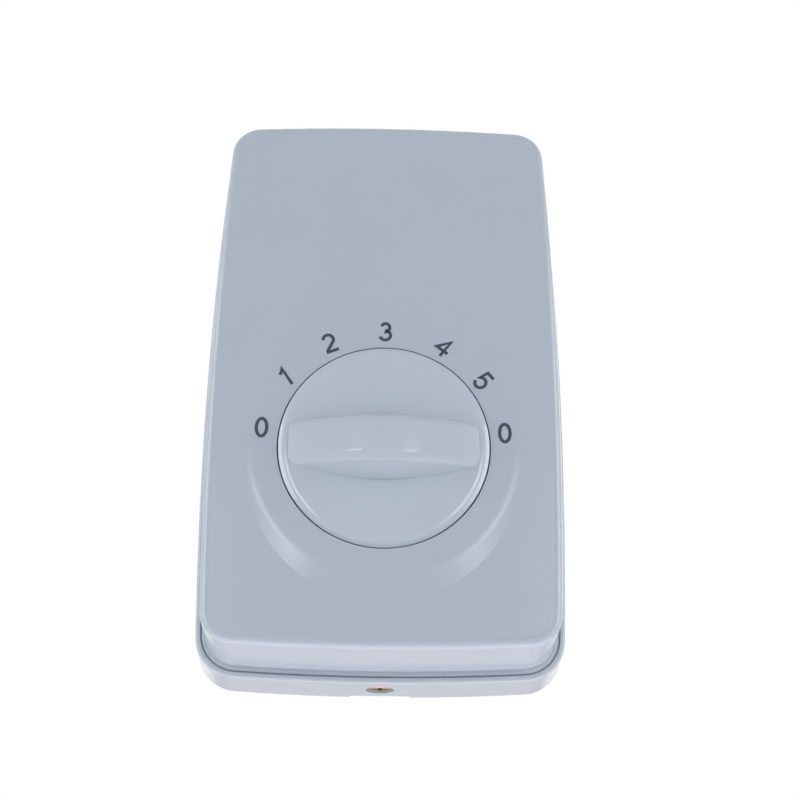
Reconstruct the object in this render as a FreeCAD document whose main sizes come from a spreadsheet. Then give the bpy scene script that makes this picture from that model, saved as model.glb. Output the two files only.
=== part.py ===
"""Surface-mounted rotary fan speed regulator: moulded box, selector knob, rotary switch and tapped choke.

Axes: X to the right, the wall plane at Y = 0 with the front towards -Y, Z up. A "depth" is measured
from the wall towards the room, so a depth of 10 lies at Y = -10. The origin is midway between the two
wall-fixing holes on the back plane.
"""
import FreeCAD
import Part
import Sketcher
import math
import os

DRIVING = {
    # box
    "face_half_width": 36.0,
    "face_half_length": 58.3,
    "side_bow": 1.7,
    "end_bow": 1.3,
    "box_depth": 29.5,
    "base_depth": 13.0,
    "side_draft": 2.5,
    "end_draft": 7.0,
    "base_draft": 4.5,
    "wall": 2.2,
    "floor_wall": 2.5,
    "corner_radius": 6.5,
    "front_round": 2.0,
    "lip_width": 0.85,
    "lip_depth": 0.7,
    "lip_round": 0.4,
    "seam": 0.3,
    "rim_width": 1.0,
    # dial and knob
    "knob_drop": 18.0,
    "knob_radius": 21.2,
    "knob_gap": 0.3,
    "rim_height": 0.8,
    "dish_depth": 1.3,
    "crest_height": 5.8,
    "crest_radius": 41.5,
    "grip_width": 8.4,
    "grip_slope": 25.0,
    "grip_length": 38.2,
    "grip_end_width": 9.9,
    "grip_corner": 2.5,
    "crest_round": 2.2,
    "grip_root": 1.8,
    "rim_inset": 0.9,
    "rim_land": 0.8,
    "rim_shoulder": 0.1,
    "rim_foot": 0.1,
    "rim_round": 1.0,
    "land_round": 1.2,
    "skirt": 3.4,
    "skirt_wall": 1.8,
    "disc_under": 2.5,
    "hub_radius": 6.0,
    "hub_length": 5.2,
    "shaft_grip": 3.4,
    "shaft_end_gap": 0.3,
    "clip_thickness": 0.45,
    "clip_width": 4.0,
    "clip_length": 8.0,
    "zone_radius": 27.0,
    "zone_tilt": 1.5,
    "zone_slope": 10.0,
    "zone_round": 9.0,
    "zone_under": 1.2,
    "well_depth": 4.0,
    "well_wall": 2.0,
    "shaft_opening_radius": 7.0,
    # fixings
    "fixing_pitch": 96.0,
    "fixing_radius": 2.25,
    "fixing_slot": 3.5,
    "keyhole_radius": 4.25,
    "keyhole_drop": 7.0,
    "cover_screw_depth": 6.7,
    "screw_pocket_radius": 2.9,
    "screw_radius": 1.5,
    "screw_head_radius": 2.7,
    "screw_head_height": 2.0,
    "screw_crown": 1.1,
    "screw_sunk": 0.2,
    "screw_length": 7.6,
    "overcut": 1.0,
    "boss_width": 11.0,
    "boss_thickness": 2.5,
    "lug_width": 9.0,
    "lug_length": 5.5,
    "lug_behind": 3.3,
    "lug_web_length": 10.0,
    "knockout_width": 12.5,
    "knockout_height": 3.5,
    "knockout_sink": 0.25,
    "entry_x": 20.0,
    "entry_z": 45.0,
    "entry_width": 20.0,
    "entry_height": 11.0,
    "hook_x": 20.0,
    "hook_width": 6.4,
    "hook_depth": 6.4,
    "hook_thickness": 2.2,
    "hook_nib": 2.0,
    "hook_bite": 1.3,
    "hook_play": 0.6,
    "fit": 0.05,
    # switch
    "shaft_radius": 3.0,
    "plate_depth": 18.8,
    "plate_thickness": 1.2,
    "plate_width": 57.0,
    "plate_height": 39.0,
    "plate_corner": 3.0,
    "post_x": 25.0,
    "post_z": 16.0,
    "post_radius": 3.0,
    "post_root": 0.5,
    "pilot_radius": 1.3,
    "pilot_depth": 9.0,
    "pilot_floor": 1.1,
    "switch_radius": 16.0,
    "contact_radius": 10.8,
    "tab_reach": 22.5,
    "tab_width": 3.0,
    "wheel_radius": 10.9,
    "shaft_flat": 1.5,
    "shaft_rear": 5.0,
    "circlip_depth": 5.6,
    "circlip_thickness": 0.7,
    "circlip_inner": 2.3,
    "circlip_outer": 4.6,
    "circlip_mouth": 3.9,
    "ear_reach": 17.6,
    "ear_radius": 3.2,
    "rivet_radius": 1.2,
    "front_plate": 1.0,
    "bushing_radius": 4.75,
    "bushing_length": 3.6,
    "nut_radius": 8.0,
    "nut_thickness": 2.3,
    "washer_thickness": 0.6,
    "housing_bore": 14.2,
    "contact_plate": 1.6,
    "contact_plate_rear": 7.2,
    "tab_thickness": 0.7,
    "stem_radius": 0.9,
    "pad_radius": 1.6,
    "pad_thickness": 0.8,
    "common_radius": 6.0,
    "rotor_gap": 1.7,
    "rotor_thickness": 2.4,
    "rotor_radius": 13.0,
    "rotor_collar_radius": 5.0,
    "wiper_thickness": 0.5,
    "wheel_thickness": 1.6,
    "wheel_gap": 0.5,
    "slip_ring_half": 1.4,
    "button_radius": 1.1,
    "bridge_width": 3.2,
    "bridge_eye": 1.0,
    "washer_radius": 7.2,
    "washer_split": 0.6,
    "rivet_head_radius": 2.3,
    "rivet_head": 0.8,
    "notch_radius": 11.15,
    "nib_radius": 0.95,
    "leaf_thickness": 0.3,
    "leaf_length": 14.0,
    "plate_screw_radius": 1.25,
    "plate_screw_length": 8.0,
    "pan_radius": 2.5,
    "pan_height": 1.4,
    "slot_deep": 0.7,
    "slot_wide": 0.6,
    # choke
    "core_leg": 14.0,
    "core_stack": 10.0,
    "core_bottom": 10.0,
    "core_depth": 9.7,
    "coil_build": 6.2,
    "coil_gap": 0.3,
    "tape_play": 0.02,
    "stack_gap": 0.2,
    "bobbin_wall": 0.8,
    "flange": 1.0,
    "tape": 0.3,
    "bracket_sheet": 1.0,
    "bracket_foot": 9.0,
    "bracket_lip": 4.0,
    "bracket_screw_x": 26.0,
    "bracket_screw_length": 6.0,
    "foot_height": 10.0,
    # terminals and leads
    "terminal_depth": 5.0,
    "terminal_seat_width": 16.0,
    "terminal_seat_height": 7.0,
    "terminal_gap": 1.8,
    "terminal_z": 46.5,
    "terminal_width": 18.0,
    "terminal_height": 11.0,
    "terminal_thickness": 11.0,
    "terminal_sink": 6.0,
    "terminal_fixing_length": 9.4,
    "barrier_width": 1.35,
    "barrier_depth": 3.0,
    "insert_size": 4.6,
    "insert_length": 8.6,
    "insert_depth": 6.2,
    "wire_hole": 1.5,
    "terminal_screw_radius": 1.2,
    "terminal_screw_length": 4.4,
    "terminal_head_radius": 1.68,
    "terminal_opening": 1.92,
    "terminal_pitch": 9.0,
    "lead_radius": 0.8,
    "lead_bend": 2.0,
    "lead_side_gap": 2.4,
    "lead_insert": 2.0,
    "lead_overlap": 2.6,
    "tap_spacing": 5.0,
    "tap_drop": 3.4,
    "supply_shift": 8.0,
    "fan_low": 34.0,
    "fan_slant": 6.0,
    "fan_high": 11.8,
    "fan_coil_x": 12.6,
}

DERIVED = {
    "side_radius": "(face_half_length ^ 2 + side_bow ^ 2) / (2 * side_bow)",
    "end_radius": "(face_half_width ^ 2 + end_bow ^ 2) / (2 * end_bow)",
    "cover_rear": "base_depth - lip_depth",
    "cover_rear_half_width": "face_half_width + (box_depth - cover_rear) * tan(side_draft)",
    "cover_rear_half_length": "face_half_length + (box_depth - cover_rear) * tan(end_draft)",
    "lip_half_width": "cover_rear_half_width + lip_width",
    "lip_half_length": "cover_rear_half_length + lip_width",
    "rebate_half_width": "lip_half_width + seam",
    "rebate_half_length": "lip_half_length + seam",
    "rim_half_width": "rebate_half_width + rim_width",
    "rim_half_length": "rebate_half_length + rim_width",
    "back_half_width": "rim_half_width + base_depth * tan(base_draft)",
    "back_half_length": "rim_half_length + base_depth * tan(base_draft)",
    "inner_rear_half_width": "cover_rear_half_width - wall",
    "inner_rear_half_length": "cover_rear_half_length - wall",
    "inner_front_half_width": "face_half_width - wall",
    "inner_front_half_length": "face_half_length - wall",
    "inner_corner": "corner_radius - wall",
    "lip_corner": "corner_radius + lip_width",
    "rebate_corner": "lip_corner + seam",
    "rim_corner": "rebate_corner + rim_width",
    "inner_face": "box_depth - wall",
    "well_radius": "knob_radius + knob_gap",
    "well_floor": "box_depth - well_depth",
    "well_rear": "well_floor - well_wall",
    "screw_mouth": "back_half_length - cover_screw_depth * tan(base_draft)",
    "screw_seat": "screw_mouth - screw_sunk - screw_head_height",
    "lug_low": "screw_seat - boss_thickness - 2 * fit",
    "lug_high": "lug_low - lug_length",
    "lug_web_low": "inner_rear_half_length + wall / 4",
    "plate_front": "plate_depth + plate_thickness",
    "core_width": "3 * core_leg",
    "core_height": "2.5 * core_leg",
    "core_top": "core_bottom + core_height",
    "core_front": "core_depth + core_stack",
    "window_low": "core_bottom + core_leg / 2",
    "window_high": "core_top - core_leg / 2",
    "choke_middle": "(core_bottom + core_top) / 2",
    "bracket_depth": "core_depth - 1.5",
    "hook_height": "cover_rear_half_length - end_bow",
    "grip_swing": "2.2 * asin(grip_length / 2 / crest_radius)",
    "shaft_front": "box_depth + shaft_grip - shaft_end_gap",
    "rim_radius": "knob_radius - rim_inset",
    "dish_radius": "rim_radius - rim_land",
    "front_plate_depth": "plate_depth - front_plate",
    "bushing_front": "plate_front + bushing_length",
    "contact_plate_front": "contact_plate_rear + contact_plate",
    "tab_rear": "contact_plate_rear - tab_thickness",
    "rotor_rear": "contact_plate_front + pad_thickness + rotor_gap",
    "wheel_rear": "front_plate_depth - wheel_gap - wheel_thickness",
    "button_rear": "contact_plate_front + pad_thickness + fit",
    "wiper_rear": "rotor_rear - wiper_thickness",
    "coil_rear": "core_depth - coil_build",
    "coil_thickness": "core_stack + 2 * coil_build",
    "window_middle": "(window_low + window_high) / 2",
    "window_height": "window_high - window_low",
    "wire_depth": "insert_depth + insert_size / 2",
    "lead_depth": "tab_rear - lead_radius - tape_play",
    "coil_reach": "core_leg / 2 - coil_gap",
    "winding_height": "window_height - 2 * flange - 6 * fit",
    "terminal_x": "inner_front_half_width - terminal_gap - terminal_width / 2",
    "lead_side": "inner_front_half_width - lead_side_gap",
    "terminal_end": "terminal_z - insert_length / 2 + lead_insert",
}

doc = FreeCAD.newDocument("fan_speed_regulator")
dims = doc.addObject("Spreadsheet::Sheet", "dims")


def fill_sheet():
    row = 0
    for table, mark in ((DRIVING, ""), (DERIVED, "=")):
        for name, value in table.items():
            row += 1
            dims.set("A%d" % row, name)
            dims.set("B%d" % row, mark + str(value))
            dims.setAlias("B%d" % row, name)
    doc.recompute()


def number(name):
    return float(getattr(dims, name))


def formula(text):
    """Put the sheet's name before every dimension name of a formula."""
    words = []
    word = ""
    for letter in text + " ":
        if letter.isalnum() or letter in "_.":
            word += letter
        else:
            words.append("dims." + word if word in DRIVING or word in DERIVED else word)
            words.append(letter)
            word = ""
    return "".join(words).strip()


def bind(obj, **formulas):
    """Bind properties to formulas of the sheet; two underscores stand for the dot of a sub-property."""
    for prop, text in formulas.items():
        obj.setExpression(prop.replace("__", "."), formula(str(text)))


fill_sheet()
# sub-parts as (object, file name), in the order they are made
made = []


def keep(obj, name):
    obj.Label = name
    made.append((obj, name))
    return obj


# sketches and features of bodies

def new_body(name):
    return keep(doc.addObject("PartDesign::Body", name), name)


def new_sketch(body, name, plane, x="0", y="0", z="0"):
    """Sketch on an origin plane of the body, its own origin moved by formulas along its own axes."""
    sketch = body.newObject("Sketcher::SketchObject", name)
    planes = [f for f in body.Origin.OriginFeatures if f.Role == plane]
    sketch.AttachmentSupport = (planes[0], [""])
    sketch.MapMode = "FlatFace"
    bind(sketch, AttachmentOffset__Base__x=x, AttachmentOffset__Base__y=y, AttachmentOffset__Base__z=z)
    return sketch


def front_sketch(body, name, depth, x="0", z="0"):
    """Sketch parallel to the wall at a depth, seen from the front; a pad of it grows to the front."""
    return new_sketch(body, name, "XZ_Plane", x, z, depth)


def level_sketch(body, name, height, x="0", depth="0"):
    """Sketch at a height, looking down; a pocket of it cuts downwards."""
    return new_sketch(body, name, "XY_Plane", x, "-(" + depth + ")", height)


def dimension(sketch, name, text, *constraint):
    """Add a named dimension and bind it; its first value is only a start for the solver."""
    index = sketch.addConstraint(Sketcher.Constraint(*constraint))
    sketch.renameConstraint(index, name)
    bind(sketch, **{"Constraints." + name: text})


def point(x, y):
    return FreeCAD.Vector(x, y, 0)


def arc(centre, radius, start, end):
    circle = Part.Circle(centre, FreeCAD.Vector(0, 0, 1), radius)
    return Part.ArcOfCircle(circle, start, end)


def add_line(sketch, start, end):
    """Straight line of an outline."""
    sketch.addGeometry(Part.LineSegment(point(*start), point(*end)), False)


def closed_lines(sketch, corners):
    """Closed outline of straight lines through the corners; returns the number of its first line."""
    first = sketch.GeometryCount
    count = len(corners)
    for i in range(count):
        sketch.addGeometry(Part.LineSegment(point(*corners[i]), point(*corners[(i + 1) % count])), False)
    for i in range(count):
        sketch.addConstraint(Sketcher.Constraint("Coincident", first + i, 2, first + (i + 1) % count, 1))
    return first


def rectangle(sketch, width, height, name="Box"):
    """Rectangle about the sketch origin."""
    first = closed_lines(sketch, [(-2, -1), (2, -1), (2, 1), (-2, 1)])
    for i, way in enumerate(("Horizontal", "Vertical", "Horizontal", "Vertical")):
        sketch.addConstraint(Sketcher.Constraint(way, first + i))
    sketch.addConstraint(Sketcher.Constraint("Symmetric", first, 1, first + 2, 1, -1, 1))
    dimension(sketch, name + "Width", width, "DistanceX", first, 1, first, 2, 4.0)
    dimension(sketch, name + "Height", height, "DistanceY", first + 1, 1, first + 1, 2, 2.0)
    return sketch


def circle(sketch, radius):
    """Circle about the sketch origin."""
    sketch.addGeometry(Part.Circle(point(0, 0), FreeCAD.Vector(0, 0, 1), 1.0), False)
    sketch.addConstraint(Sketcher.Constraint("Coincident", 0, 3, -1, 1))
    dimension(sketch, "Radius", radius, "Radius", 0, 1.0)
    return sketch


def circles(sketch, radius, half_x, half_z=None):
    """Two circles left and right of the sketch origin, or four about it when half_z is given."""
    rows = (0,) if half_z is None else (1, -1)
    places = [(side, row) for row in rows for side in (1, -1)]
    for side, row in places:
        centre = point(side * 5, row * 4)
        sketch.addGeometry(Part.Circle(centre, FreeCAD.Vector(0, 0, 1), 1.0), False)
    for i in range(1, len(places)):
        sketch.addConstraint(Sketcher.Constraint("Equal", 0, i))
    sketch.addConstraint(Sketcher.Constraint("Symmetric", 0, 3, 1, 3, -2))
    if half_z is None:
        sketch.addConstraint(Sketcher.Constraint("PointOnObject", 0, 3, -1))
    else:
        sketch.addConstraint(Sketcher.Constraint("Symmetric", 0, 3, 2, 3, -1))
        sketch.addConstraint(Sketcher.Constraint("Symmetric", 1, 3, 3, 3, -1))
        dimension(sketch, "HalfHeight", half_z, "DistanceY", -1, 1, 0, 3, 4.0)
    dimension(sketch, "HalfWidth", half_x, "DistanceX", -1, 1, 0, 3, 5.0)
    dimension(sketch, "Radius", radius, "Radius", 0, 1.0)
    return sketch


def bowed_outline(sketch, half_width, half_length, corner):
    """Outline of the box: four bowed sides with rounded corners, all tangent to one another."""
    side, end, radius = number("side_radius"), number("end_radius"), number(corner)
    side_x = number(half_width) - side
    end_z = number(half_length) - end
    # the corner circle touches both bows from inside, so its centre lies on two known circles
    span = math.hypot(side_x, end_z)
    along = ((side - radius) ** 2 - (end - radius) ** 2 + span ** 2) / (2 * span)
    across = math.sqrt((side - radius) ** 2 - along ** 2)
    corner_x = side_x - along * side_x / span - across * end_z / span
    corner_z = along * end_z / span - across * side_x / span
    on_side = math.atan2(corner_z, corner_x - side_x)
    on_end = math.atan2(corner_z - end_z, corner_x)
    half_turn = math.pi
    bows = (
        (point(side_x, 0), side, -on_side, on_side),
        (point(corner_x, corner_z), radius, on_side, on_end),
        (point(0, end_z), end, on_end, half_turn - on_end),
        (point(-corner_x, corner_z), radius, half_turn - on_end, half_turn - on_side),
        (point(-side_x, 0), side, half_turn - on_side, half_turn + on_side),
        (point(-corner_x, -corner_z), radius, half_turn + on_side, half_turn + on_end),
        (point(0, -end_z), end, half_turn + on_end, 2 * half_turn - on_end),
        (point(corner_x, -corner_z), radius, -on_end, -on_side),
    )
    for centre, size, start, stop in bows:
        sketch.addGeometry(arc(centre, size, start, stop), False)
    for i in range(8):
        sketch.addConstraint(Sketcher.Constraint("Tangent", i, 2, (i + 1) % 8, 1))
    for bow, axis in ((0, -1), (4, -1), (2, -2), (6, -2)):
        sketch.addConstraint(Sketcher.Constraint("PointOnObject", bow, 3, axis))
    for a, b in ((0, 4), (2, 6), (1, 3), (1, 5), (1, 7)):
        sketch.addConstraint(Sketcher.Constraint("Equal", a, b))
    dimension(sketch, "SideRadius", "side_radius", "Radius", 0, side)
    dimension(sketch, "EndRadius", "end_radius", "Radius", 2, end)
    dimension(sketch, "CornerRadius", corner, "Radius", 1, radius)
    inset_x = "side_radius - " + half_width
    inset_z = "end_radius - " + half_length
    dimension(sketch, "RightBow", inset_x, "DistanceX", 0, 3, -1, 1, -side_x)
    dimension(sketch, "LeftBow", inset_x, "DistanceX", -1, 1, 4, 3, -side_x)
    dimension(sketch, "TopBow", inset_z, "DistanceY", 2, 3, -1, 1, -end_z)
    dimension(sketch, "BottomBow", inset_z, "DistanceY", -1, 1, 6, 3, -end_z)
    return sketch


def d_shape(sketch, radius, flat):
    """Round outline with a flat across its upper side."""
    sketch.addGeometry(arc(point(0, 0), 3.0, math.radians(130), math.radians(410)), False)
    ends = sketch.getPoint(0, 2), sketch.getPoint(0, 1)
    sketch.addGeometry(Part.LineSegment(*ends), False)
    sketch.addConstraint(Sketcher.Constraint("Coincident", 0, 2, 1, 1))
    sketch.addConstraint(Sketcher.Constraint("Coincident", 1, 2, 0, 1))
    sketch.addConstraint(Sketcher.Constraint("Coincident", 0, 3, -1, 1))
    sketch.addConstraint(Sketcher.Constraint("Horizontal", 1))
    dimension(sketch, "Radius", radius, "Radius", 0, 3.0)
    dimension(sketch, "Flat", flat, "DistanceY", -1, 1, 1, 1, 2.3)
    return sketch


def feature(body, kind, name, sketch, **formulas):
    made_feature = body.newObject("PartDesign::" + kind, name)
    made_feature.Profile = sketch
    bind(made_feature, **formulas)
    sketch.Visibility = False
    doc.recompute()
    return made_feature


def pad(body, name, sketch, length):
    return feature(body, "Pad", name, sketch, Length=length)


def pocket(body, name, sketch, length, reverse=False):
    cut = feature(body, "Pocket", name, sketch, Length=length)
    cut.Reversed = reverse
    doc.recompute()
    return cut


def loft(body, kind, name, first, second):
    shape = body.newObject("PartDesign::" + kind, name)
    shape.Profile = first
    shape.Sections = [second]
    shape.Ruled = True
    doc.recompute()
    return shape


def mirrored(body, name, features, plane="YZ_Plane"):
    copy = body.newObject("PartDesign::Mirrored", name)
    copy.Originals = features
    copy.MirrorPlane = ([f for f in body.Origin.OriginFeatures if f.Role == plane][0], [""])
    doc.recompute()
    body.Tip = copy
    return copy


def edges_where(shape_feature, test):
    """Names of the edges of a feature whose middle point passes the test."""
    names = []
    for i, edge in enumerate(shape_feature.Shape.Edges):
        middle = edge.valueAt((edge.FirstParameter + edge.LastParameter) / 2)
        if test(edge, middle):
            names.append("Edge%d" % (i + 1))
    return names


def fillet(body, name, radius, test):
    base = body.Tip
    rounding = body.newObject("PartDesign::Fillet", name)
    rounding.Base = (base, edges_where(base, test))
    bind(rounding, Radius=radius)
    doc.recompute()
    return rounding


# simple solids and their combinations

def block(name, x, depth, z, width, thickness, height):
    """Box about x and z, standing on a depth and growing to the front."""
    solid = doc.addObject("Part::Box", name)
    bind(solid, Length=width, Width=thickness, Height=height)
    bind(
        solid,
        Placement__Base__x="(%s) - (%s) / 2" % (x, width),
        Placement__Base__y="-(%s) - (%s)" % (depth, thickness),
        Placement__Base__z="(%s) - (%s) / 2" % (z, height),
    )
    return solid


def rod(name, x, depth, z, radius, length):
    """Cylinder square to the wall, from a depth to the front."""
    solid = doc.addObject("Part::Cylinder", name)
    solid.Placement = FreeCAD.Placement(FreeCAD.Vector(), FreeCAD.Rotation(FreeCAD.Vector(1, 0, 0), 90))
    bind(solid, Radius=radius, Height=length)
    bind(solid, Placement__Base__x=x, Placement__Base__y="-(%s)" % depth, Placement__Base__z=z)
    return solid


def axis_rod(name, depth, radius, length):
    """Cylinder on the knob axis, from a depth to the front."""
    return rod(name, "0", depth, "-knob_drop", radius, length)


def upright_rod(name, x, depth, z, radius, length):
    """Cylinder along Z, from a height upwards."""
    solid = doc.addObject("Part::Cylinder", name)
    bind(solid, Radius=radius, Height=length)
    bind(solid, Placement__Base__x=x, Placement__Base__y="-(%s)" % depth, Placement__Base__z=z)
    return solid


def fuse(name, *solids):
    joined = doc.addObject("Part::MultiFuse", name)
    joined.Shapes = list(solids)
    joined.Refine = True
    return joined


def cut(name, solid, *tools):
    result = doc.addObject("Part::Cut", name)
    result.Base = solid
    result.Tool = tools[0] if len(tools) == 1 else fuse(name + "_tools", *tools)
    return result


def group(name, *solids):
    compound = doc.addObject("Part::Compound", name)
    compound.Links = list(solids)
    return compound


# moulded box

def make_base():
    body = new_body("base")
    back = bowed_outline(
        front_sketch(body, "base_back", "0"), "back_half_width", "back_half_length", "rim_corner"
    )
    rim = bowed_outline(
        front_sketch(body, "base_rim", "base_depth"), "rim_half_width", "rim_half_length", "rim_corner"
    )
    loft(body, "AdditiveLoft", "base_walls", back, rim)
    front_y = -number("base_depth")
    fillet(body, "rim_rounding", "rim_width * 0.85", lambda edge, middle: abs(middle.y - front_y) < 0.01)
    cavity = bowed_outline(
        front_sketch(body, "base_cavity", "base_depth"),
        "cover_rear_half_width",
        "cover_rear_half_length",
        "corner_radius",
    )
    pocket(body, "cavity", cavity, "base_depth - floor_wall")
    rebate = bowed_outline(
        front_sketch(body, "base_rebate", "base_depth"),
        "rebate_half_width",
        "rebate_half_length",
        "rebate_corner",
    )
    pocket(body, "rebate", rebate, "lip_depth")
    base_posts(body)
    base_screw_boss(body)
    base_openings(body)
    return body


def base_posts(body):
    """Posts for the switch plate, feet for the choke bracket and a seat for the terminal block."""
    root = "floor_wall - post_root"
    place = front_sketch(body, "plate_posts", root, z="-knob_drop")
    posts = circles(place, "post_radius", "post_x", "post_z")
    pad(body, "plate_post_pads", posts, "plate_depth - (%s)" % root)
    place = front_sketch(body, "bracket_posts", root, z="choke_middle")
    feet = circles(place, "post_radius", "bracket_screw_x")
    pad(body, "bracket_post_pads", feet, "bracket_depth - (%s)" % root)
    seat = rectangle(
        front_sketch(body, "terminal_seat", root, "-terminal_x", "-terminal_z"),
        "terminal_seat_width",
        "terminal_seat_height",
    )
    pad(body, "terminal_seat_pad", seat, "terminal_depth - (%s)" % root)
    place = front_sketch(body, "plate_pilots", "plate_depth", z="-knob_drop")
    pilots = circles(place, "pilot_radius", "post_x", "post_z")
    pocket(body, "plate_pilot_holes", pilots, "pilot_depth")
    place = front_sketch(body, "bracket_pilots", "bracket_depth", z="choke_middle")
    pilots = circles(place, "pilot_radius", "bracket_screw_x")
    pocket(body, "bracket_pilot_holes", pilots, "bracket_depth - pilot_floor")
    place = front_sketch(body, "terminal_pilot", "terminal_depth", "-terminal_x", "-terminal_z")
    pilot = circle(place, "pilot_radius")
    pocket(body, "terminal_pilot_hole", pilot, "terminal_depth - pilot_floor")


def base_screw_boss(body):
    """Thickened bottom wall with the sunk hole of the cover screw, and the cable knock-out behind it."""
    root = "floor_wall - post_root"
    boss = rectangle(
        front_sketch(body, "screw_boss", root, z="-(screw_seat - boss_thickness / 2 + wall / 4)"),
        "boss_width",
        "boss_thickness + wall / 2",
    )
    pad(body, "screw_boss_pad", boss, "cover_rear - 4 * fit - (%s)" % root)
    hole = circle(
        level_sketch(body, "screw_hole", "-(screw_seat - 2 * boss_thickness)", depth="cover_screw_depth"),
        "screw_radius + fit",
    )
    pocket(body, "screw_clearance", hole, "3 * boss_thickness")
    place = level_sketch(body, "screw_sink", "-screw_seat", depth="cover_screw_depth")
    sink = circle(place, "screw_pocket_radius")
    pocket(body, "screw_pocket", sink, "4 * wall")
    panel_top = "-(back_half_length - knockout_sink)"
    panel = rectangle(
        level_sketch(body, "knockout_panel", panel_top, depth="knockout_height / 2"),
        "knockout_width",
        "knockout_height",
    )
    pocket(body, "knockout_recess", panel, "2 * wall")


def base_openings(body):
    """Keyhole and round hole for the wall screws, cable entry and pockets for the hooks of the cover."""
    above, through = "2 * floor_wall", "4 * floor_wall"
    place = front_sketch(body, "keyhole", above, z="fixing_pitch / 2 - keyhole_drop")
    keyhole = circle(place, "keyhole_radius")
    pocket(body, "keyhole_opening", keyhole, through)
    reach, top = "keyhole_drop + fixing_slot / 2", "fixing_pitch / 2 + fixing_slot / 2"
    place = front_sketch(body, "keyhole_neck", above, z="%s - (%s) / 2" % (top, reach))
    pocket(body, "keyhole_slot", rectangle(place, "2 * fixing_radius", reach), through)
    end = circle(front_sketch(body, "keyhole_end", above, z=top), "fixing_radius")
    pocket(body, "keyhole_slot_end", end, through)
    low = circle(front_sketch(body, "low_hole", above, z="-fixing_pitch / 2"), "fixing_radius")
    pocket(body, "low_fixing_hole", low, through)
    place = front_sketch(body, "cable_entry", above, "entry_x", "-entry_z")
    entry = rectangle(place, "entry_width", "entry_height")
    pocket(body, "cable_entry_opening", entry, through)
    hook = rectangle(
        level_sketch(body, "hook_pocket", "hook_height - hook_bite", "hook_x", "hook_depth + hook_nib / 2"),
        "hook_width + 2 * hook_play",
        "hook_nib + hook_play",
    )
    opening = pocket(body, "hook_pocket_right", hook, "2 * hook_bite + hook_play / 2", reverse=True)
    mirrored(body, "hook_pocket_left", [opening])


def make_cover():
    body = new_body("cover")
    lip = bowed_outline(
        front_sketch(body, "cover_lip", "cover_rear"), "lip_half_width", "lip_half_length", "lip_corner"
    )
    pad(body, "lip", lip, "lip_depth")
    lip_y = -number("base_depth")
    fillet(body, "lip_rounding", "lip_round", lambda edge, middle: abs(middle.y - lip_y) < 0.01)
    rear = bowed_outline(
        front_sketch(body, "cover_rear", "cover_rear"),
        "cover_rear_half_width",
        "cover_rear_half_length",
        "corner_radius",
    )
    face = bowed_outline(
        front_sketch(body, "cover_face", "box_depth"),
        "face_half_width",
        "face_half_length",
        "corner_radius",
    )
    loft(body, "AdditiveLoft", "cover_walls", rear, face)
    front_y = -number("box_depth")
    fillet(body, "front_rounding", "front_round", lambda edge, middle: abs(middle.y - front_y) < 0.01)
    cover_zone(body)
    inner_rear = bowed_outline(
        front_sketch(body, "cover_inner_rear", "cover_rear"),
        "inner_rear_half_width",
        "inner_rear_half_length",
        "inner_corner",
    )
    inner_front = bowed_outline(
        front_sketch(body, "cover_inner_front", "inner_face"),
        "inner_front_half_width",
        "inner_front_half_length",
        "inner_corner",
    )
    loft(body, "SubtractiveLoft", "cover_hollow", inner_rear, inner_front)
    cover_well(body)
    cover_lug(body)
    cover_hooks(body)
    return body


def cover_zone(body):
    """Disc round the knob, tilted to stand out of the lower face only, with a rounded sloping edge."""
    sketch = new_sketch(body, "zone_profile", "XY_Plane", "0", "-box_depth", "-knob_drop")
    radius, deep = number("zone_radius"), number("zone_under")
    slope, rounding = math.radians(number("zone_slope")), number("zone_round")
    trim = rounding * math.tan(slope / 2)
    reach = radius + deep / math.tan(slope)
    bend = (radius + trim * math.cos(slope), trim * math.sin(slope))
    sketch.addGeometry(Part.LineSegment(point(0, deep), point(0, 0)), False)
    sketch.addGeometry(Part.LineSegment(point(0, 0), point(radius - trim, 0)), False)
    turn = arc(point(radius - trim, rounding), rounding, -math.pi / 2, slope - math.pi / 2)
    sketch.addGeometry(turn, False)
    sketch.addGeometry(Part.LineSegment(point(*bend), point(reach, deep)), False)
    sketch.addGeometry(Part.LineSegment(point(reach, deep), point(0, deep)), False)
    for a, a_end, b, b_end in ((0, 2, 1, 1), (3, 2, 4, 1), (4, 2, 0, 1)):
        sketch.addConstraint(Sketcher.Constraint("Coincident", a, a_end, b, b_end))
    sketch.addConstraint(Sketcher.Constraint("Tangent", 1, 2, 2, 1))
    sketch.addConstraint(Sketcher.Constraint("Tangent", 2, 2, 3, 1))
    for line, way in ((1, "Horizontal"), (4, "Horizontal")):
        sketch.addConstraint(Sketcher.Constraint(way, line))
    sketch.addConstraint(Sketcher.Constraint("Coincident", 0, 2, -1, 1))
    sketch.addConstraint(Sketcher.Constraint("PointOnObject", 0, 1, -2))
    dimension(sketch, "Under", "zone_under", "DistanceY", 0, 2, 0, 1, deep)
    dimension(sketch, "Rounding", "zone_round", "Radius", 2, rounding)
    flat = "zone_radius - zone_round * tan(zone_slope / 2)"
    dimension(sketch, "Flat", flat, "DistanceX", 1, 1, 1, 2, radius - trim)
    wide = "zone_radius + zone_under / tan(zone_slope)"
    dimension(sketch, "Reach", wide, "DistanceX", 4, 2, 4, 1, reach)
    tilt = FreeCAD.Rotation(FreeCAD.Vector(1, 0, 0), -number("zone_tilt"))
    sketch.AttachmentOffset = FreeCAD.Placement(sketch.AttachmentOffset.Base, tilt)
    bind(sketch, AttachmentOffset__Rotation__Angle="-zone_tilt")
    zone = body.newObject("PartDesign::Revolution", "raised_zone")
    zone.Profile = sketch
    zone.ReferenceAxis = (sketch, ["V_Axis"])
    zone.Angle = 360
    doc.recompute()


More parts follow.
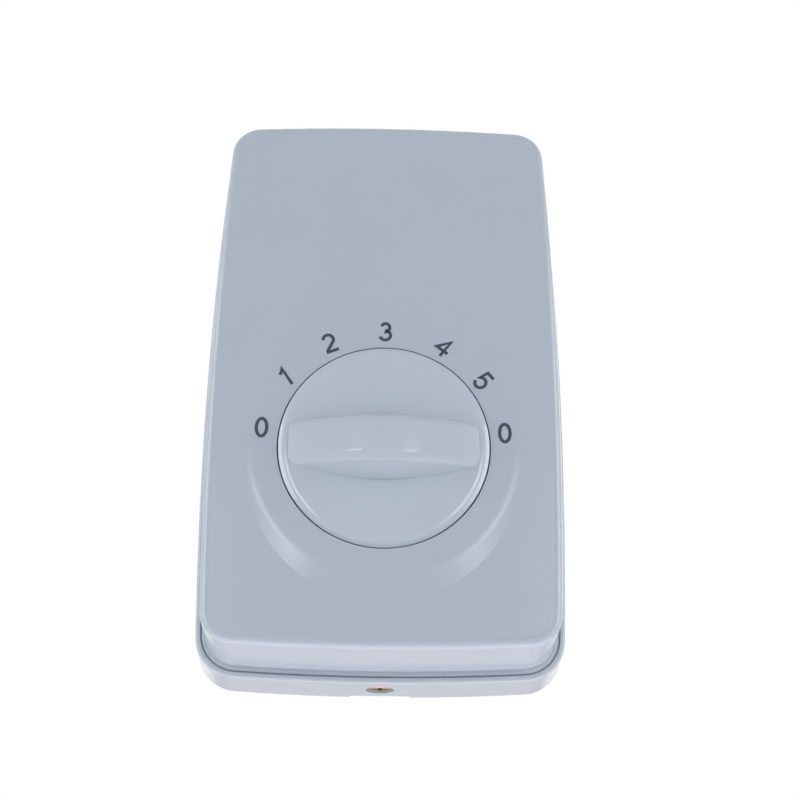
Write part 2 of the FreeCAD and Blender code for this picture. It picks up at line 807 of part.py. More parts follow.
def cover_well(body):
    """Round well the knob turns in, with the opening for the shaft in its floor."""
    boss = circle(front_sketch(body, "well_boss", "well_rear", z="-knob_drop"), "well_radius + well_wall")
    pad(body, "well_boss_pad", boss, "inner_face + wall / 4 - well_rear")
    well = circle(front_sketch(body, "well", "box_depth + wall", z="-knob_drop"), "well_radius")
    pocket(body, "well_pocket", well, "wall + well_depth")
    place = front_sketch(body, "shaft_opening", "box_depth", z="-knob_drop")
    opening = circle(place, "shaft_opening_radius")
    pocket(body, "shaft_opening_hole", opening, "2 * well_depth + well_wall")


def cover_lug(body):
    """Lug behind the bottom wall that takes the cover screw, and the web that joins it to that wall."""
    lug_rear = "cover_screw_depth - lug_behind"
    place = front_sketch(body, "screw_lug", lug_rear, z="-(lug_low + lug_high) / 2")
    lug = rectangle(place, "lug_width", "lug_low - lug_high")
    pad(body, "screw_lug_pad", lug, "inner_face + wall / 4 - (%s)" % lug_rear)
    place = front_sketch(body, "lug_web", "cover_rear", z="-(lug_low + lug_web_low) / 2")
    web = rectangle(place, "lug_width", "lug_web_low - lug_low")
    pad(body, "lug_web_pad", web, "lug_web_length")
    place = level_sketch(body, "lug_pilot", "-lug_high", depth="cover_screw_depth")
    pilot = circle(place, "screw_radius + fit")
    pocket(body, "lug_pilot_hole", pilot, "lug_length + boss_thickness")


def cover_hooks(body):
    """Two hooks behind the top wall that hold the cover in the base."""
    middle = "hook_height - hook_play - hook_thickness / 2"
    place = front_sketch(body, "hook_stem", "hook_depth", "hook_x", middle)
    stem = rectangle(place, "hook_width", "hook_thickness")
    arm = pad(body, "hook_stem_pad", stem, "cover_rear + 2 * hook_thickness - hook_depth")
    nib = rectangle(
        front_sketch(body, "hook_nib", "hook_depth", "hook_x", "hook_height - hook_play / 2"),
        "hook_width",
        "2 * hook_bite",
    )
    catch = pad(body, "hook_nib_pad", nib, "hook_nib")
    mirrored(body, "hooks_left", [arm, catch])


def make_cover_screw():
    """Pan-head screw that holds the cover at the bottom."""
    low = "-screw_seat - screw_head_height"
    depth = "cover_screw_depth"
    shank = upright_rod("screw_shank", "0", depth, "-screw_seat", "screw_radius", "screw_length")
    head = upright_rod("screw_head", "0", depth, low, "screw_head_radius", "screw_head_height")
    crown = doc.addObject("Part::Fillet", "screw_crown")
    crown.Base = head
    doc.recompute()
    low_z, size = -number("screw_seat") - number("screw_head_height"), number("screw_crown")
    circles_of = [(i + 1, e) for i, e in enumerate(head.Shape.Edges) if e.Closed]
    rim = [i for i, e in circles_of if abs(e.CenterOfMass.z - low_z) < 0.01]
    crown.Edges = [(i, size, size) for i in rim]
    wide = recess_bar("screw_recess_a", "2 * screw_radius", "screw_radius / 2")
    deep = recess_bar("screw_recess_b", "screw_radius / 2", "2 * screw_radius")
    whole = fuse("screw_body", shank, crown)
    return keep(cut("cover_screw", whole, wide, deep), "cover_screw")


def recess_bar(name, width, depth_size):
    """One bar of the cross recess in the head of the cover screw."""
    bar = doc.addObject("Part::Box", name)
    bind(bar, Length=width, Width=depth_size, Height="0.6 * screw_head_height")
    bind(
        bar,
        Placement__Base__x="-(%s) / 2" % width,
        Placement__Base__y="-cover_screw_depth - (%s) / 2" % depth_size,
        Placement__Base__z="-screw_seat - 1.05 * screw_head_height",
    )
    return bar


# knob

def make_knob():
    """Knob with a sloping rim, a hollowed top and an arched grip across it; the body sits on its axis."""
    body = new_body("knob")
    bind(body, Placement__Base__y="-box_depth", Placement__Base__z="-knob_drop")
    knob_grip(body)
    knob_disc(body)
    knob_hub(body)
    return body


def knob_grip(body):
    """Grip bar: a section with rounded top corners swung along the arched crest, then trimmed to length."""
    swing = body.newObject("PartDesign::Revolution", "grip_swing")
    swing.Profile = grip_section(body)
    swing.ReferenceAxis = (swing.Profile[0], ["Axis0"])
    swing.Midplane = True
    bind(swing, Angle="grip_swing")
    doc.recompute()
    frame = new_sketch(body, "grip_trim", "XY_Plane", "0", "-(crest_height + overcut) / 2")
    rectangle(frame, "4 * grip_length", "4 * grip_length", "Outer")
    first = closed_lines(frame, [(-3, -2), (3, -2), (3, 2), (-3, 2)])
    for i, way in enumerate(("Horizontal", "Vertical", "Horizontal", "Vertical")):
        frame.addConstraint(Sketcher.Constraint(way, first + i))
    frame.addConstraint(Sketcher.Constraint("Symmetric", first, 1, first + 2, 1, -1, 1))
    dimension(frame, "KeptLength", "grip_length + overcut", "DistanceX", first, 1, first, 2, 6.0)
    dimension(frame, "KeptHeight", "crest_height + grip_root", "DistanceY", first + 1, 1, first + 1, 2, 4.0)
    trim = pocket(body, "grip_trimmed", frame, "8 * grip_width")
    trim.Midplane = True
    doc.recompute()
    end = pocket(body, "grip_end", grip_end_outline(body), "crest_height + grip_root + 2 * overcut")
    mirrored(body, "grip_end_left", [end])


def grip_end_outline(body):
    """Outline of what is cut from the right end of the grip, so that its corners are round."""
    sketch = front_sketch(body, "grip_end_outline", "crest_height + overcut")
    end, radius = number("grip_length") / 2, number("grip_corner")
    straight = number("grip_end_width") / 2 - radius
    outer, wide = end + number("overcut"), 2 * number("grip_width")
    start = end - radius
    add_line(sketch, (outer, -wide), (outer, wide))
    add_line(sketch, (outer, wide), (start, wide))
    add_line(sketch, (start, wide), (start, straight + radius))
    sketch.addGeometry(arc(point(start, straight), radius, 0, math.pi / 2), False)
    add_line(sketch, (end, straight), (end, -straight))
    sketch.addGeometry(arc(point(start, -straight), radius, -math.pi / 2, 0), False)
    add_line(sketch, (start, -straight - radius), (start, -wide))
    add_line(sketch, (start, -wide), (outer, -wide))
    joins = ((0, 2, 1, 1), (1, 2, 2, 1), (2, 2, 3, 2), (5, 1, 6, 1), (6, 2, 7, 1), (7, 2, 0, 1))
    for a, a_end, b, b_end in joins:
        sketch.addConstraint(Sketcher.Constraint("Coincident", a, a_end, b, b_end))
    sketch.addConstraint(Sketcher.Constraint("Tangent", 3, 1, 4, 1))
    sketch.addConstraint(Sketcher.Constraint("Tangent", 4, 2, 5, 2))
    sketch.addConstraint(Sketcher.Constraint("Vertical", 3, 3, 3, 2))
    sketch.addConstraint(Sketcher.Constraint("Vertical", 5, 3, 5, 1))
    sketch.addConstraint(Sketcher.Constraint("Equal", 3, 5))
    for i, way in ((1, "Horizontal"), (2, "Vertical"), (6, "Vertical"), (7, "Horizontal")):
        sketch.addConstraint(Sketcher.Constraint(way, i))
    sketch.addConstraint(Sketcher.Constraint("Symmetric", 4, 1, 4, 2, -1))
    sketch.addConstraint(Sketcher.Constraint("Symmetric", 0, 1, 0, 2, -1))
    dimension(sketch, "Corner", "grip_corner", "Radius", 3, radius)
    dimension(sketch, "End", "grip_length / 2", "DistanceX", -1, 1, 4, 1, end)
    dimension(sketch, "Straight", "grip_end_width - 2 * grip_corner", "DistanceY", 4, 2, 4, 1, 2 * straight)
    dimension(sketch, "Beyond", "overcut", "DistanceX", 4, 1, 0, 2, number("overcut"))
    dimension(sketch, "Across", "4 * grip_width", "DistanceY", 0, 1, 0, 2, 2 * wide)
    return sketch


def grip_section(body):
    """Section of the grip at its middle, from the crest down to its root in the disc."""
    sketch = new_sketch(body, "grip_section", "YZ_Plane", "-crest_height")
    deep = number("crest_height") + number("grip_root")
    half, radius = number("grip_width") / 2, number("crest_round")
    slope = math.radians(number("grip_slope"))
    foot = half + deep * math.tan(slope)
    trim = radius * math.tan(math.pi / 4 - slope / 2)
    flat = half - trim
    bend = (trim * math.cos(slope), half + trim * math.sin(slope))
    add_line(sketch, (bend[0], -bend[1]), (deep, -foot))
    add_line(sketch, (deep, -foot), (deep, foot))
    add_line(sketch, (deep, foot), bend)
    sketch.addGeometry(arc(point(radius, flat), radius, math.pi / 2 + slope, math.pi), False)
    add_line(sketch, (0, flat), (0, -flat))
    sketch.addGeometry(arc(point(radius, -flat), radius, math.pi, 1.5 * math.pi - slope), False)
    sketch.addConstraint(Sketcher.Constraint("Coincident", 0, 2, 1, 1))
    sketch.addConstraint(Sketcher.Constraint("Coincident", 1, 2, 2, 1))
    for a, b in ((2, 3), (3, 4), (4, 5), (5, 0)):
        sketch.addConstraint(Sketcher.Constraint("Tangent", a, 2, b, 1))
    sketch.addConstraint(Sketcher.Constraint("Equal", 3, 5))
    sketch.addConstraint(Sketcher.Constraint("Symmetric", 4, 1, 4, 2, -1))
    sketch.addConstraint(Sketcher.Constraint("Symmetric", 1, 1, 1, 2, -1))
    sketch.addConstraint(Sketcher.Constraint("PointOnObject", 4, 1, -2))
    dimension(sketch, "Rounding", "crest_round", "Radius", 3, radius)
    top = "grip_width - 2 * crest_round * tan(45 - grip_slope / 2)"
    dimension(sketch, "Top", top, "DistanceY", 4, 2, 4, 1, 2 * flat)
    dimension(sketch, "Deep", "crest_height + grip_root", "DistanceX", -1, 1, 1, 1, deep)
    wide = "grip_width + 2 * (crest_height + grip_root) * tan(grip_slope)"
    dimension(sketch, "Foot", wide, "DistanceY", 1, 1, 1, 2, 2 * foot)
    swing_radius = number("crest_radius")
    axis = sketch.addGeometry(Part.LineSegment(point(swing_radius, -foot), point(swing_radius, foot)), True)
    sketch.addConstraint(Sketcher.Constraint("Symmetric", axis, 1, axis, 2, -1))
    dimension(sketch, "Swing", "crest_radius", "DistanceX", -1, 1, axis, 1, swing_radius)
    return sketch


def knob_disc(body):
    """Disc of the knob with its skirt, its sloping rim and a top hollowed to a flat cone."""
    sketch = new_sketch(body, "disc_profile", "XY_Plane")
    radius, rim, dish = number("knob_radius"), number("rim_height"), number("dish_depth")
    top, land, skirt = number("rim_radius"), number("dish_radius"), number("skirt")
    inner = radius - number("skirt_wall")
    under = number("disc_under")
    shoulder = rim - number("rim_shoulder")
    corners = [
        (0, under),
        (inner, under),
        (inner, skirt),
        (radius, skirt),
        (radius, -number("rim_foot")),
        (top, -shoulder),
        (land, -rim),
        (0, dish),
    ]
    closed_lines(sketch, corners)
    for line in (0, 2):
        sketch.addConstraint(Sketcher.Constraint("Horizontal", line))
    for line in (1, 3, 7):
        sketch.addConstraint(Sketcher.Constraint("Vertical", line))
    sketch.addConstraint(Sketcher.Constraint("PointOnObject", 0, 1, -2))
    dimension(sketch, "Under", "disc_under", "DistanceY", -1, 1, 0, 1, under)
    dimension(sketch, "Inner", "knob_radius - skirt_wall", "DistanceX", 0, 1, 0, 2, inner)
    dimension(sketch, "Skirt", "skirt", "DistanceY", -1, 1, 1, 2, skirt)
    dimension(sketch, "Outer", "knob_radius", "DistanceX", -1, 1, 2, 2, radius)
    dimension(sketch, "RimFoot", "rim_foot", "DistanceY", 3, 2, -1, 1, number("rim_foot"))
    dimension(sketch, "RimRadius", "rim_radius", "DistanceX", -1, 1, 4, 2, top)
    dimension(sketch, "RimShoulder", "rim_height - rim_shoulder", "DistanceY", 4, 2, -1, 1, shoulder)
    dimension(sketch, "LandRadius", "dish_radius", "DistanceX", -1, 1, 5, 2, land)
    dimension(sketch, "RimHeight", "rim_height", "DistanceY", 5, 2, -1, 1, rim)
    dimension(sketch, "DishDepth", "dish_depth", "DistanceY", -1, 1, 7, 1, dish)
    disc = body.newObject("PartDesign::Revolution", "disc")
    disc.Profile = sketch
    disc.ReferenceAxis = (sketch, ["V_Axis"])
    disc.Angle = 360
    doc.recompute()
    fillet(body, "rim_rounding_knob", "rim_round", lambda edge, middle: is_ring(edge, top, -shoulder))
    fillet(body, "land_rounding", "land_round", lambda edge, middle: is_ring(edge, land, -rim))


def is_ring(edge, radius, y):
    """True for an edge that runs round the knob axis at a radius and a place along it."""
    length = edge.LastParameter - edge.FirstParameter
    points = [edge.valueAt(edge.FirstParameter + share * length) for share in (0.1, 0.6)]
    return all(abs(math.hypot(p.x, p.z) - radius) < 0.02 and abs(p.y - y) < 0.02 for p in points)


def knob_hub(body):
    """Hub behind the disc with the bore for the flatted shaft and room for the spring clip."""
    hub = circle(front_sketch(body, "hub", "-hub_length"), "hub_radius")
    pad(body, "hub_pad", hub, "hub_length")
    place = front_sketch(body, "bore", "shaft_grip")
    bore = d_shape(place, "shaft_radius + fit", "shaft_flat + clip_thickness + fit")
    pocket(body, "bore_pocket", bore, "shaft_grip + hub_length + overcut")


def make_knob_clip():
    """Leaf spring between the flat of the shaft and the flat of the bore."""
    leaf = block(
        "knob_clip",
        "0",
        "shaft_front - clip_length",
        "-knob_drop + shaft_flat + (clip_thickness + fit) / 2",
        "clip_width",
        "clip_length",
        "clip_thickness - fit / 2",
    )
    return keep(leaf, "knob_clip")


# rotary switch

def shaft_hole(name, depth, length):
    """Flatted rod a little larger than the shaft, to cut a fitting hole."""
    whole = axis_rod(name + "_round", depth, "shaft_radius + fit", length)
    flat = block(
        name + "_flat",
        "0",
        "(%s) - overcut" % depth,
        "-knob_drop + shaft_flat + fit + shaft_radius / 2",
        "3 * shaft_radius",
        "(%s) + 2 * overcut" % length,
        "shaft_radius",
    )
    return cut(name, whole, flat)


def make_shaft():
    whole = axis_rod("shaft_rod", "shaft_rear", "shaft_radius", "shaft_front - shaft_rear")
    flat = block(
        "shaft_flat_cut",
        "0",
        "shaft_rear - overcut",
        "-knob_drop + shaft_flat + shaft_radius / 2",
        "3 * shaft_radius",
        "shaft_front - shaft_rear + 2 * overcut",
        "shaft_radius",
    )
    groove_outer = axis_rod("clip_groove_outer", "circlip_depth", "2 * shaft_radius", "circlip_thickness")
    groove_inner = axis_rod("clip_groove_inner", "circlip_depth", "circlip_inner", "circlip_thickness")
    groove = cut("clip_groove", groove_outer, groove_inner)
    return keep(cut("switch_shaft", whole, flat, groove), "switch_shaft")


def make_circlip():
    """E-shaped clip in the groove at the rear end of the shaft."""
    outer = axis_rod("circlip_outer", "circlip_depth + fit", "circlip_outer", "circlip_thickness - 2 * fit")
    rear, length = "circlip_depth - overcut", "circlip_thickness + 2 * overcut"
    inner = axis_rod("circlip_bore", rear, "circlip_inner + fit", length)
    middle = "-knob_drop - circlip_outer / 2"
    mouth = block("circlip_mouth", "0", rear, middle, "circlip_mouth", length, "circlip_outer")
    return keep(cut("circlip", outer, inner, mouth), "circlip")


def eared_disc(name, depth, thickness):
    """Round plate with an ear on either side for the rivets that hold the switch together."""
    disc = axis_rod(name + "_disc", depth, "switch_radius", thickness)
    ears = block(name + "_ears", "0", depth, "-knob_drop", "2 * ear_reach", thickness, "2 * ear_radius")
    ends = [
        rod(name + "_ear_" + side, x, depth, "-knob_drop", "ear_radius", thickness)
        for side, x in (("right", "ear_reach"), ("left", "-ear_reach"))
    ]
    return fuse(name + "_plate", disc, ears, *ends)


def ear_holes(name, depth):
    return [
        rod(name + side, x, depth, "-knob_drop", "rivet_radius + fit", "box_depth")
        for side, x in (("_right", "ear_reach"), ("_left", "-ear_reach"))
    ]


def make_switch_front():
    """Steel front plate of the switch with its bushing."""
    plate = eared_disc("front", "front_plate_depth", "front_plate")
    length = "bushing_front - front_plate_depth"
    bushing = axis_rod("bushing", "front_plate_depth", "bushing_radius", length)
    whole = fuse("switch_front_whole", plate, bushing)
    rear = "front_plate_depth - overcut"
    bore = axis_rod("bushing_bore", rear, "shaft_radius + fit", "box_depth")
    return keep(cut("switch_front_plate", whole, bore, *ear_holes("front_hole", rear)), "switch_front_plate")


def make_bushing_nut():
    prism = doc.addObject("Part::Prism", "nut_prism")
    prism.Polygon = 6
    prism.Placement = FreeCAD.Placement(FreeCAD.Vector(), FreeCAD.Rotation(FreeCAD.Vector(1, 0, 0), 90))
    bind(prism, Circumradius="nut_radius", Height="nut_thickness")
    bind(prism, Placement__Base__y="-plate_front - washer_thickness - fit", Placement__Base__z="-knob_drop")
    hole = axis_rod("nut_hole", "plate_front", "bushing_radius + fit", "box_depth")
    return keep(cut("bushing_nut", prism, hole), "bushing_nut")


def make_lock_washer():
    rear, length = "plate_front - overcut", "washer_thickness + 2 * overcut"
    outer = axis_rod("washer_outer", "plate_front", "washer_radius", "washer_thickness")
    inner = axis_rod("washer_inner", rear, "bushing_radius + 2 * fit", length)
    middle = "(bushing_radius + washer_radius) / 2"
    split = block("washer_gap", middle, rear, "-knob_drop", "washer_radius", length, "washer_split")
    return keep(cut("lock_washer", outer, inner, split), "lock_washer")


def make_switch_housing():
    """Moulded ring between the front plate and the contact plate."""
    rear = "contact_plate_front - overcut"
    plate = eared_disc("housing", "contact_plate_front", "front_plate_depth - contact_plate_front")
    hollow = axis_rod("housing_hollow", rear, "housing_bore", "box_depth")
    return keep(cut("switch_housing", plate, hollow, *ear_holes("housing_hole", rear)), "switch_housing")


def make_contact_plate():
    """Laminate plate that closes the switch at the rear and carries the fixed contacts."""
    rear = "contact_plate_rear - overcut"
    plate = eared_disc("contact", "contact_plate_rear", "contact_plate")
    tools = [axis_rod("contact_shaft_hole", rear, "shaft_radius + 2 * fit", "box_depth")]
    tools += ear_holes("contact_hole", rear)
    for angle in CONTACT_ANGLES:
        tools.append(contact_bore("contact_bore_%d" % angle, "contact_radius", angle))
    tools.append(contact_bore("common_bore", "common_radius", COMMON_ANGLE))
    return keep(cut("contact_plate", plate, *tools), "contact_plate")


# directions of the five speed contacts and of the common tab, seen from the front
CONTACT_ANGLES = (30, 60, 90, 120, 150)
COMMON_ANGLE = 270


def radial_place(solid, radius, angle):
    """Put a solid made at the knob axis at a radius and angle round it."""
    cos, sin = math.cos(math.radians(angle)), math.sin(math.radians(angle))
    bind(solid, Placement__Base__x="(%s) * %.6f" % (radius, cos))
    bind(solid, Placement__Base__z="-knob_drop + (%s) * %.6f" % (radius, sin))
    return solid


def contact_bore(name, radius, angle):
    hole = axis_rod(name, "contact_plate_rear - overcut", "stem_radius + fit", "box_depth")
    return radial_place(hole, radius, angle)


def contact_stem(name, radius, angle):
    """Stem of a contact from its tab behind the contact plate to the pad in front of it."""
    stem = axis_rod(name, "tab_rear", "stem_radius", "contact_plate_front + pad_thickness / 2 - tab_rear")
    return radial_place(stem, radius, angle)


def make_fixed_contacts():
    """Five speed contacts: a pad in front of the contact plate, a stem through it and a tab behind it."""
    contacts = []
    for angle in CONTACT_ANGLES:
        tag = "_%d" % angle
        disc = axis_rod("pad" + tag, "contact_plate_front", "pad_radius", "pad_thickness")
        parts = [
            radial_place(disc, "contact_radius", angle),
            contact_stem("stem" + tag, "contact_radius", angle),
            radial_tab("tab" + tag, "contact_radius - pad_radius", angle),
        ]
        contacts.append(fuse("contact" + tag, *parts))
    return keep(group("speed_contacts", *contacts), "speed_contacts")


def radial_tab(name, inner, angle):
    """Flat tab behind the contact plate, pointing away from the knob axis."""
    tab = doc.addObject("Part::Box", name)
    bind(tab, Length="tab_reach - (%s)" % inner, Width="tab_width", Height="tab_thickness")
    tab.Placement = FreeCAD.Placement(FreeCAD.Vector(), tab_turn(angle))
    cos, sin = math.cos(math.radians(angle)), math.sin(math.radians(angle))
    bind(
        tab,
        Placement__Base__x="(%s) * %.6f + tab_width / 2 * %.6f" % (inner, cos, sin),
        Placement__Base__y="-tab_rear",
        Placement__Base__z="-knob_drop + (%s) * %.6f - tab_width / 2 * %.6f" % (inner, sin, cos),
    )
    return tab


def tab_turn(angle):
    """Rotation that lays a box flat against the wall plane with its length along an angle."""
    flat = FreeCAD.Rotation(FreeCAD.Vector(1, 0, 0), 90)
    return FreeCAD.Rotation(FreeCAD.Vector(0, -1, 0), angle) * flat


def make_common_contact():
    """Slip ring round the shaft with its own tab, always under the wiper."""
    outer = axis_rod("ring_outer", "contact_plate_front", "common_radius + slip_ring_half", "pad_thickness")
    rear = "contact_plate_front - overcut"
    inner = axis_rod("ring_inner", rear, "common_radius - slip_ring_half", "box_depth")
    ring = cut("ring", outer, inner)
    stem = contact_stem("common_stem", "common_radius", COMMON_ANGLE)
    tab = radial_tab("common_tab", "common_radius - stem_radius", COMMON_ANGLE)
    return keep(fuse("common_contact", ring, stem, tab), "common_contact")


def make_rotor():
    """Moulded carrier that turns the wiper."""
    disc = axis_rod("rotor_disc", "rotor_rear", "rotor_radius", "rotor_thickness")
    collar = axis_rod("rotor_collar", "rotor_rear", "rotor_collar_radius", "wheel_rear - rotor_rear")
    hole = shaft_hole("rotor_hole", "rotor_rear - overcut", "box_depth")
    return keep(cut("contact_rotor", fuse("rotor_whole", disc, collar), hole), "contact_rotor")


def make_wiper():
    """Bronze bridge: its outer buttons run over the speed contacts, its inner ones on the slip ring."""
    sheet = "wiper_rear", "-knob_drop", "2 * contact_radius", "wiper_thickness", "bridge_width"
    bridge = block("bridge", "0", *sheet)
    eye = axis_rod("bridge_centre", "wiper_rear", "common_radius + bridge_eye", "wiper_thickness")
    hole = axis_rod("bridge_hole", "wiper_rear - overcut", "shaft_radius + 4 * fit", "box_depth")
    buttons = []
    for side, sign in (("right", ""), ("left", "-")):
        for ring_name, radius in (("outer", "contact_radius"), ("inner", "common_radius")):
            name = "button_%s_%s" % (ring_name, side)
            length = "rotor_rear - button_rear"
            buttons.append(rod(name, sign + radius, "button_rear", "-knob_drop", "button_radius", length))
    return keep(cut("wiper", fuse("wiper_whole", bridge, eye, *buttons), hole), "wiper")


def make_detent_wheel():
    """Star wheel with twelve notches, one for every 30 degrees."""
    body = new_body("detent_wheel")
    bind(body, Placement__Base__z="-knob_drop")
    front = "wheel_rear + wheel_thickness"
    disc = circle(front_sketch(body, "wheel_disc", "wheel_rear"), "wheel_radius")
    pad(body, "wheel_disc_pad", disc, "wheel_thickness")
    bore = d_shape(front_sketch(body, "wheel_bore", front), "shaft_radius + fit", "shaft_flat + fit")
    pocket(body, "wheel_bore_pocket", bore, "wheel_thickness")
    notch = circle(front_sketch(body, "wheel_notch", front, z="-notch_radius"), "nib_radius + 2 * fit")
    first = pocket(body, "wheel_notch_pocket", notch, "wheel_thickness")
    ring = body.newObject("PartDesign::PolarPattern", "wheel_notches")
    ring.Originals = [first]
    ring.Axis = ([f for f in body.Origin.OriginFeatures if f.Role == "Y_Axis"][0], [""])
    ring.Angle = 360
    ring.Occurrences = 12
    doc.recompute()
    body.Tip = ring
    return body


def make_detent_spring():
    """Leaf spring across the housing whose nib rests in a notch of the star wheel."""
    middle = "-knob_drop - notch_radius - nib_radius + leaf_thickness / 2"
    sheet = "wheel_rear", middle, "leaf_length", "wheel_thickness", "leaf_thickness"
    leaf = block("detent_leaf", "0", *sheet)
    nib = rod("detent_nib", "0", "wheel_rear", "-knob_drop - notch_radius", "nib_radius", "wheel_thickness")
    return keep(fuse("detent_spring", leaf, nib), "detent_spring")


def make_switch_rivets():
    rivets = []
    for side, x in (("right", "ear_reach"), ("left", "-ear_reach")):
        length = "plate_depth - contact_plate_rear"
        shank = rod("rivet_shank_" + side, x, "contact_plate_rear", "-knob_drop", "rivet_radius", length)
        rear = "contact_plate_rear - rivet_head"
        head = rod("rivet_head_" + side, x, rear, "-knob_drop", "rivet_head_radius", "rivet_head")
        rivets.append(fuse("rivet_" + side, shank, head))
    return keep(group("switch_rivets", *rivets), "switch_rivets")


def make_mounting_plate():
    """Steel plate on four posts that carries the switch."""
    body = new_body("mounting_plate")
    bind(body, Placement__Base__z="-knob_drop")
    outline = rectangle(front_sketch(body, "plate_outline", "plate_depth"), "plate_width", "plate_height")
    pad(body, "plate_pad", outline, "plate_thickness")
    fillet(body, "plate_corners", "plate_corner", lambda edge, middle: is_along_y(edge))
    hole = circle(front_sketch(body, "plate_bushing_hole", "plate_front"), "bushing_radius + 2 * fit")
    pocket(body, "plate_bushing", hole, "2 * plate_thickness")
    place = front_sketch(body, "plate_screw_holes", "plate_front")
    holes = circles(place, "plate_screw_radius + 2 * fit", "post_x", "post_z")
    pocket(body, "plate_screw_openings", holes, "2 * plate_thickness")
    return body


def is_along_y(edge):
    first, last = edge.Vertexes[0].Point, edge.Vertexes[-1].Point
    return abs(first.x - last.x) < 0.01 and abs(first.z - last.z) < 0.01 and abs(first.y - last.y) > 0.1


def front_screw(name, x, seat, z, length):
    """Pan-head screw driven from the front, its head on a depth."""
    shank = rod(name + "_shank", x, "(%s) - (%s)" % (seat, length), z, "plate_screw_radius", length)
    head = rod(name + "_head", x, seat, z, "pan_radius", "pan_height")
    bottom = "(%s) + pan_height - slot_deep" % seat
    groove = block(name + "_slot", x, bottom, z, "3 * pan_radius", "slot_deep + overcut", "slot_wide")
    return cut(name, fuse(name + "_whole", shank, head), groove)


def make_plate_screws():
    screws = [
        front_screw("plate_screw_%s%s" % (a, b), x, "plate_front", z, "plate_screw_length")
        for a, x in (("right", "post_x"), ("left", "-post_x"))
        for b, z in (("_top", "-knob_drop + post_z"), ("_low", "-knob_drop - post_z"))
    ]
    return keep(group("plate_screws", *screws), "plate_screws")


# choke

def make_core_e():
    """Stack of E laminations, open towards the bottom."""
    middle, height = "(window_low + core_top) / 2", "core_top - window_low"
    outer = block("core_e_outer", "0", "core_depth", middle, "core_width", "core_stack", height)
    tools = [
        block(
            "core_window_" + side,
            sign + "(core_leg * 3 / 4)",
            "core_depth - overcut",
            "window_middle - overcut / 2",
            "core_leg / 2",
            "core_stack + 2 * overcut",
            "window_height + overcut",
        )
        for side, sign in (("right", ""), ("left", "-"))
    ]
    return keep(cut("core_e_stack", outer, *tools), "core_e_stack")


def make_core_i():
    """Stack of I laminations that closes the core, an insulated gap below the legs."""
    height = "core_leg / 2 - stack_gap"
    middle = "core_bottom + (%s) / 2" % height
    stack = block("core_i_stack", "0", "core_depth", middle, "core_width", "core_stack", height)
    return keep(stack, "core_i_stack")


def coil_ring(name, outer_x, outer_depth, inner_x, inner_depth, middle, height):
    """Rectangular ring about the centre leg, given by how far it reaches beyond the leg on each side."""
    outer = block(
        name + "_outer",
        "0",
        "core_depth - (%s)" % outer_depth,
        middle,
        "core_leg + 2 * (%s)" % outer_x,
        "core_stack + 2 * (%s)" % outer_depth,
        height,
    )
    inner = block(
        name + "_inner",
        "0",
        "core_depth - (%s)" % inner_depth,
        middle,
        "core_leg + 2 * (%s)" % inner_x,
        "core_stack + 2 * (%s)" % inner_depth,
        "(%s) + 2 * overcut" % height,
    )
    return cut(name, outer, inner)


def make_bobbin():
    """Moulded bobbin: a tube round the centre leg with a flange at either end."""
    wall, height = "bobbin_wall + fit", "window_height - 4 * fit"
    tube = coil_ring("bobbin_tube", wall, wall, "fit", "fit", "window_middle", height)
    rings = [
        coil_ring("flange_" + tag, "coil_reach", "coil_build", "fit", "fit", middle, "flange")
        for tag, middle in (
            ("top", "window_high - 2 * fit - flange / 2"),
            ("low", "window_low + 2 * fit + flange / 2"),
        )
    ]
    return keep(fuse("bobbin", tube, *rings), "bobbin")


def make_winding():
    """Coil of enamelled wire between the flanges, as one solid."""
    wall = "bobbin_wall + 2 * fit"
    sides, front = "coil_reach - tape - coil_gap", "coil_build - tape - coil_gap"
    ring = coil_ring("winding_block", sides, front, wall, wall, "window_middle", "winding_height")
    return keep(ring, "winding")


def make_tape():
    """Insulating tape wound once round the coil."""
    sides, front = "coil_reach - coil_gap + tape_play", "coil_build - coil_gap + tape_play"
    under = "coil_reach - tape - coil_gap + tape_play", "coil_build - tape - coil_gap + tape_play"
    ring = coil_ring("tape_ring", sides, front, *under, "window_middle", "winding_height")
    return keep(ring, "winding_tape")


def make_bracket():
    """Steel strap over the core with two feet and two lips folded under it."""
    side_x = "core_width / 2 + fit"
    width = "core_front - bracket_depth"
    top_z = "core_top + fit + bracket_sheet / 2"
    tall = "core_height + 2 * fit + 2 * bracket_sheet"
    low_z = "core_bottom - fit - bracket_sheet / 2"
    across = "2 * (%s + bracket_sheet)" % side_x
    parts = [block("strap_top", "0", "bracket_depth", top_z, across, width, "bracket_sheet")]
    for side, sign in (("right", ""), ("left", "-")):
        x = sign + "(%s + bracket_sheet / 2)" % side_x
        leg = "bracket_depth", "choke_middle", "bracket_sheet", width, tall
        parts.append(block("strap_" + side, x, *leg))
        x = sign + "(%s + bracket_sheet - bracket_lip / 2)" % side_x
        lip = "bracket_depth", low_z, "bracket_lip", width, "bracket_sheet"
        parts.append(block("strap_lip_" + side, x, *lip))
        x = sign + "(%s + bracket_foot / 2)" % side_x
        foot = "bracket_depth", "choke_middle", "bracket_foot", "bracket_sheet", "foot_height"
        parts.append(block("strap_foot_" + side, x, *foot))
    rear, radius = "bracket_depth - overcut", "plate_screw_radius + 2 * fit"
    holes = [
        rod("foot_hole_" + side, x, rear, "choke_middle", radius, "bracket_sheet + 2 * overcut")
        for side, x in (("right", "bracket_screw_x"), ("left", "-bracket_screw_x"))
    ]
    return keep(cut("core_bracket", fuse("strap", *parts), *holes), "core_bracket")


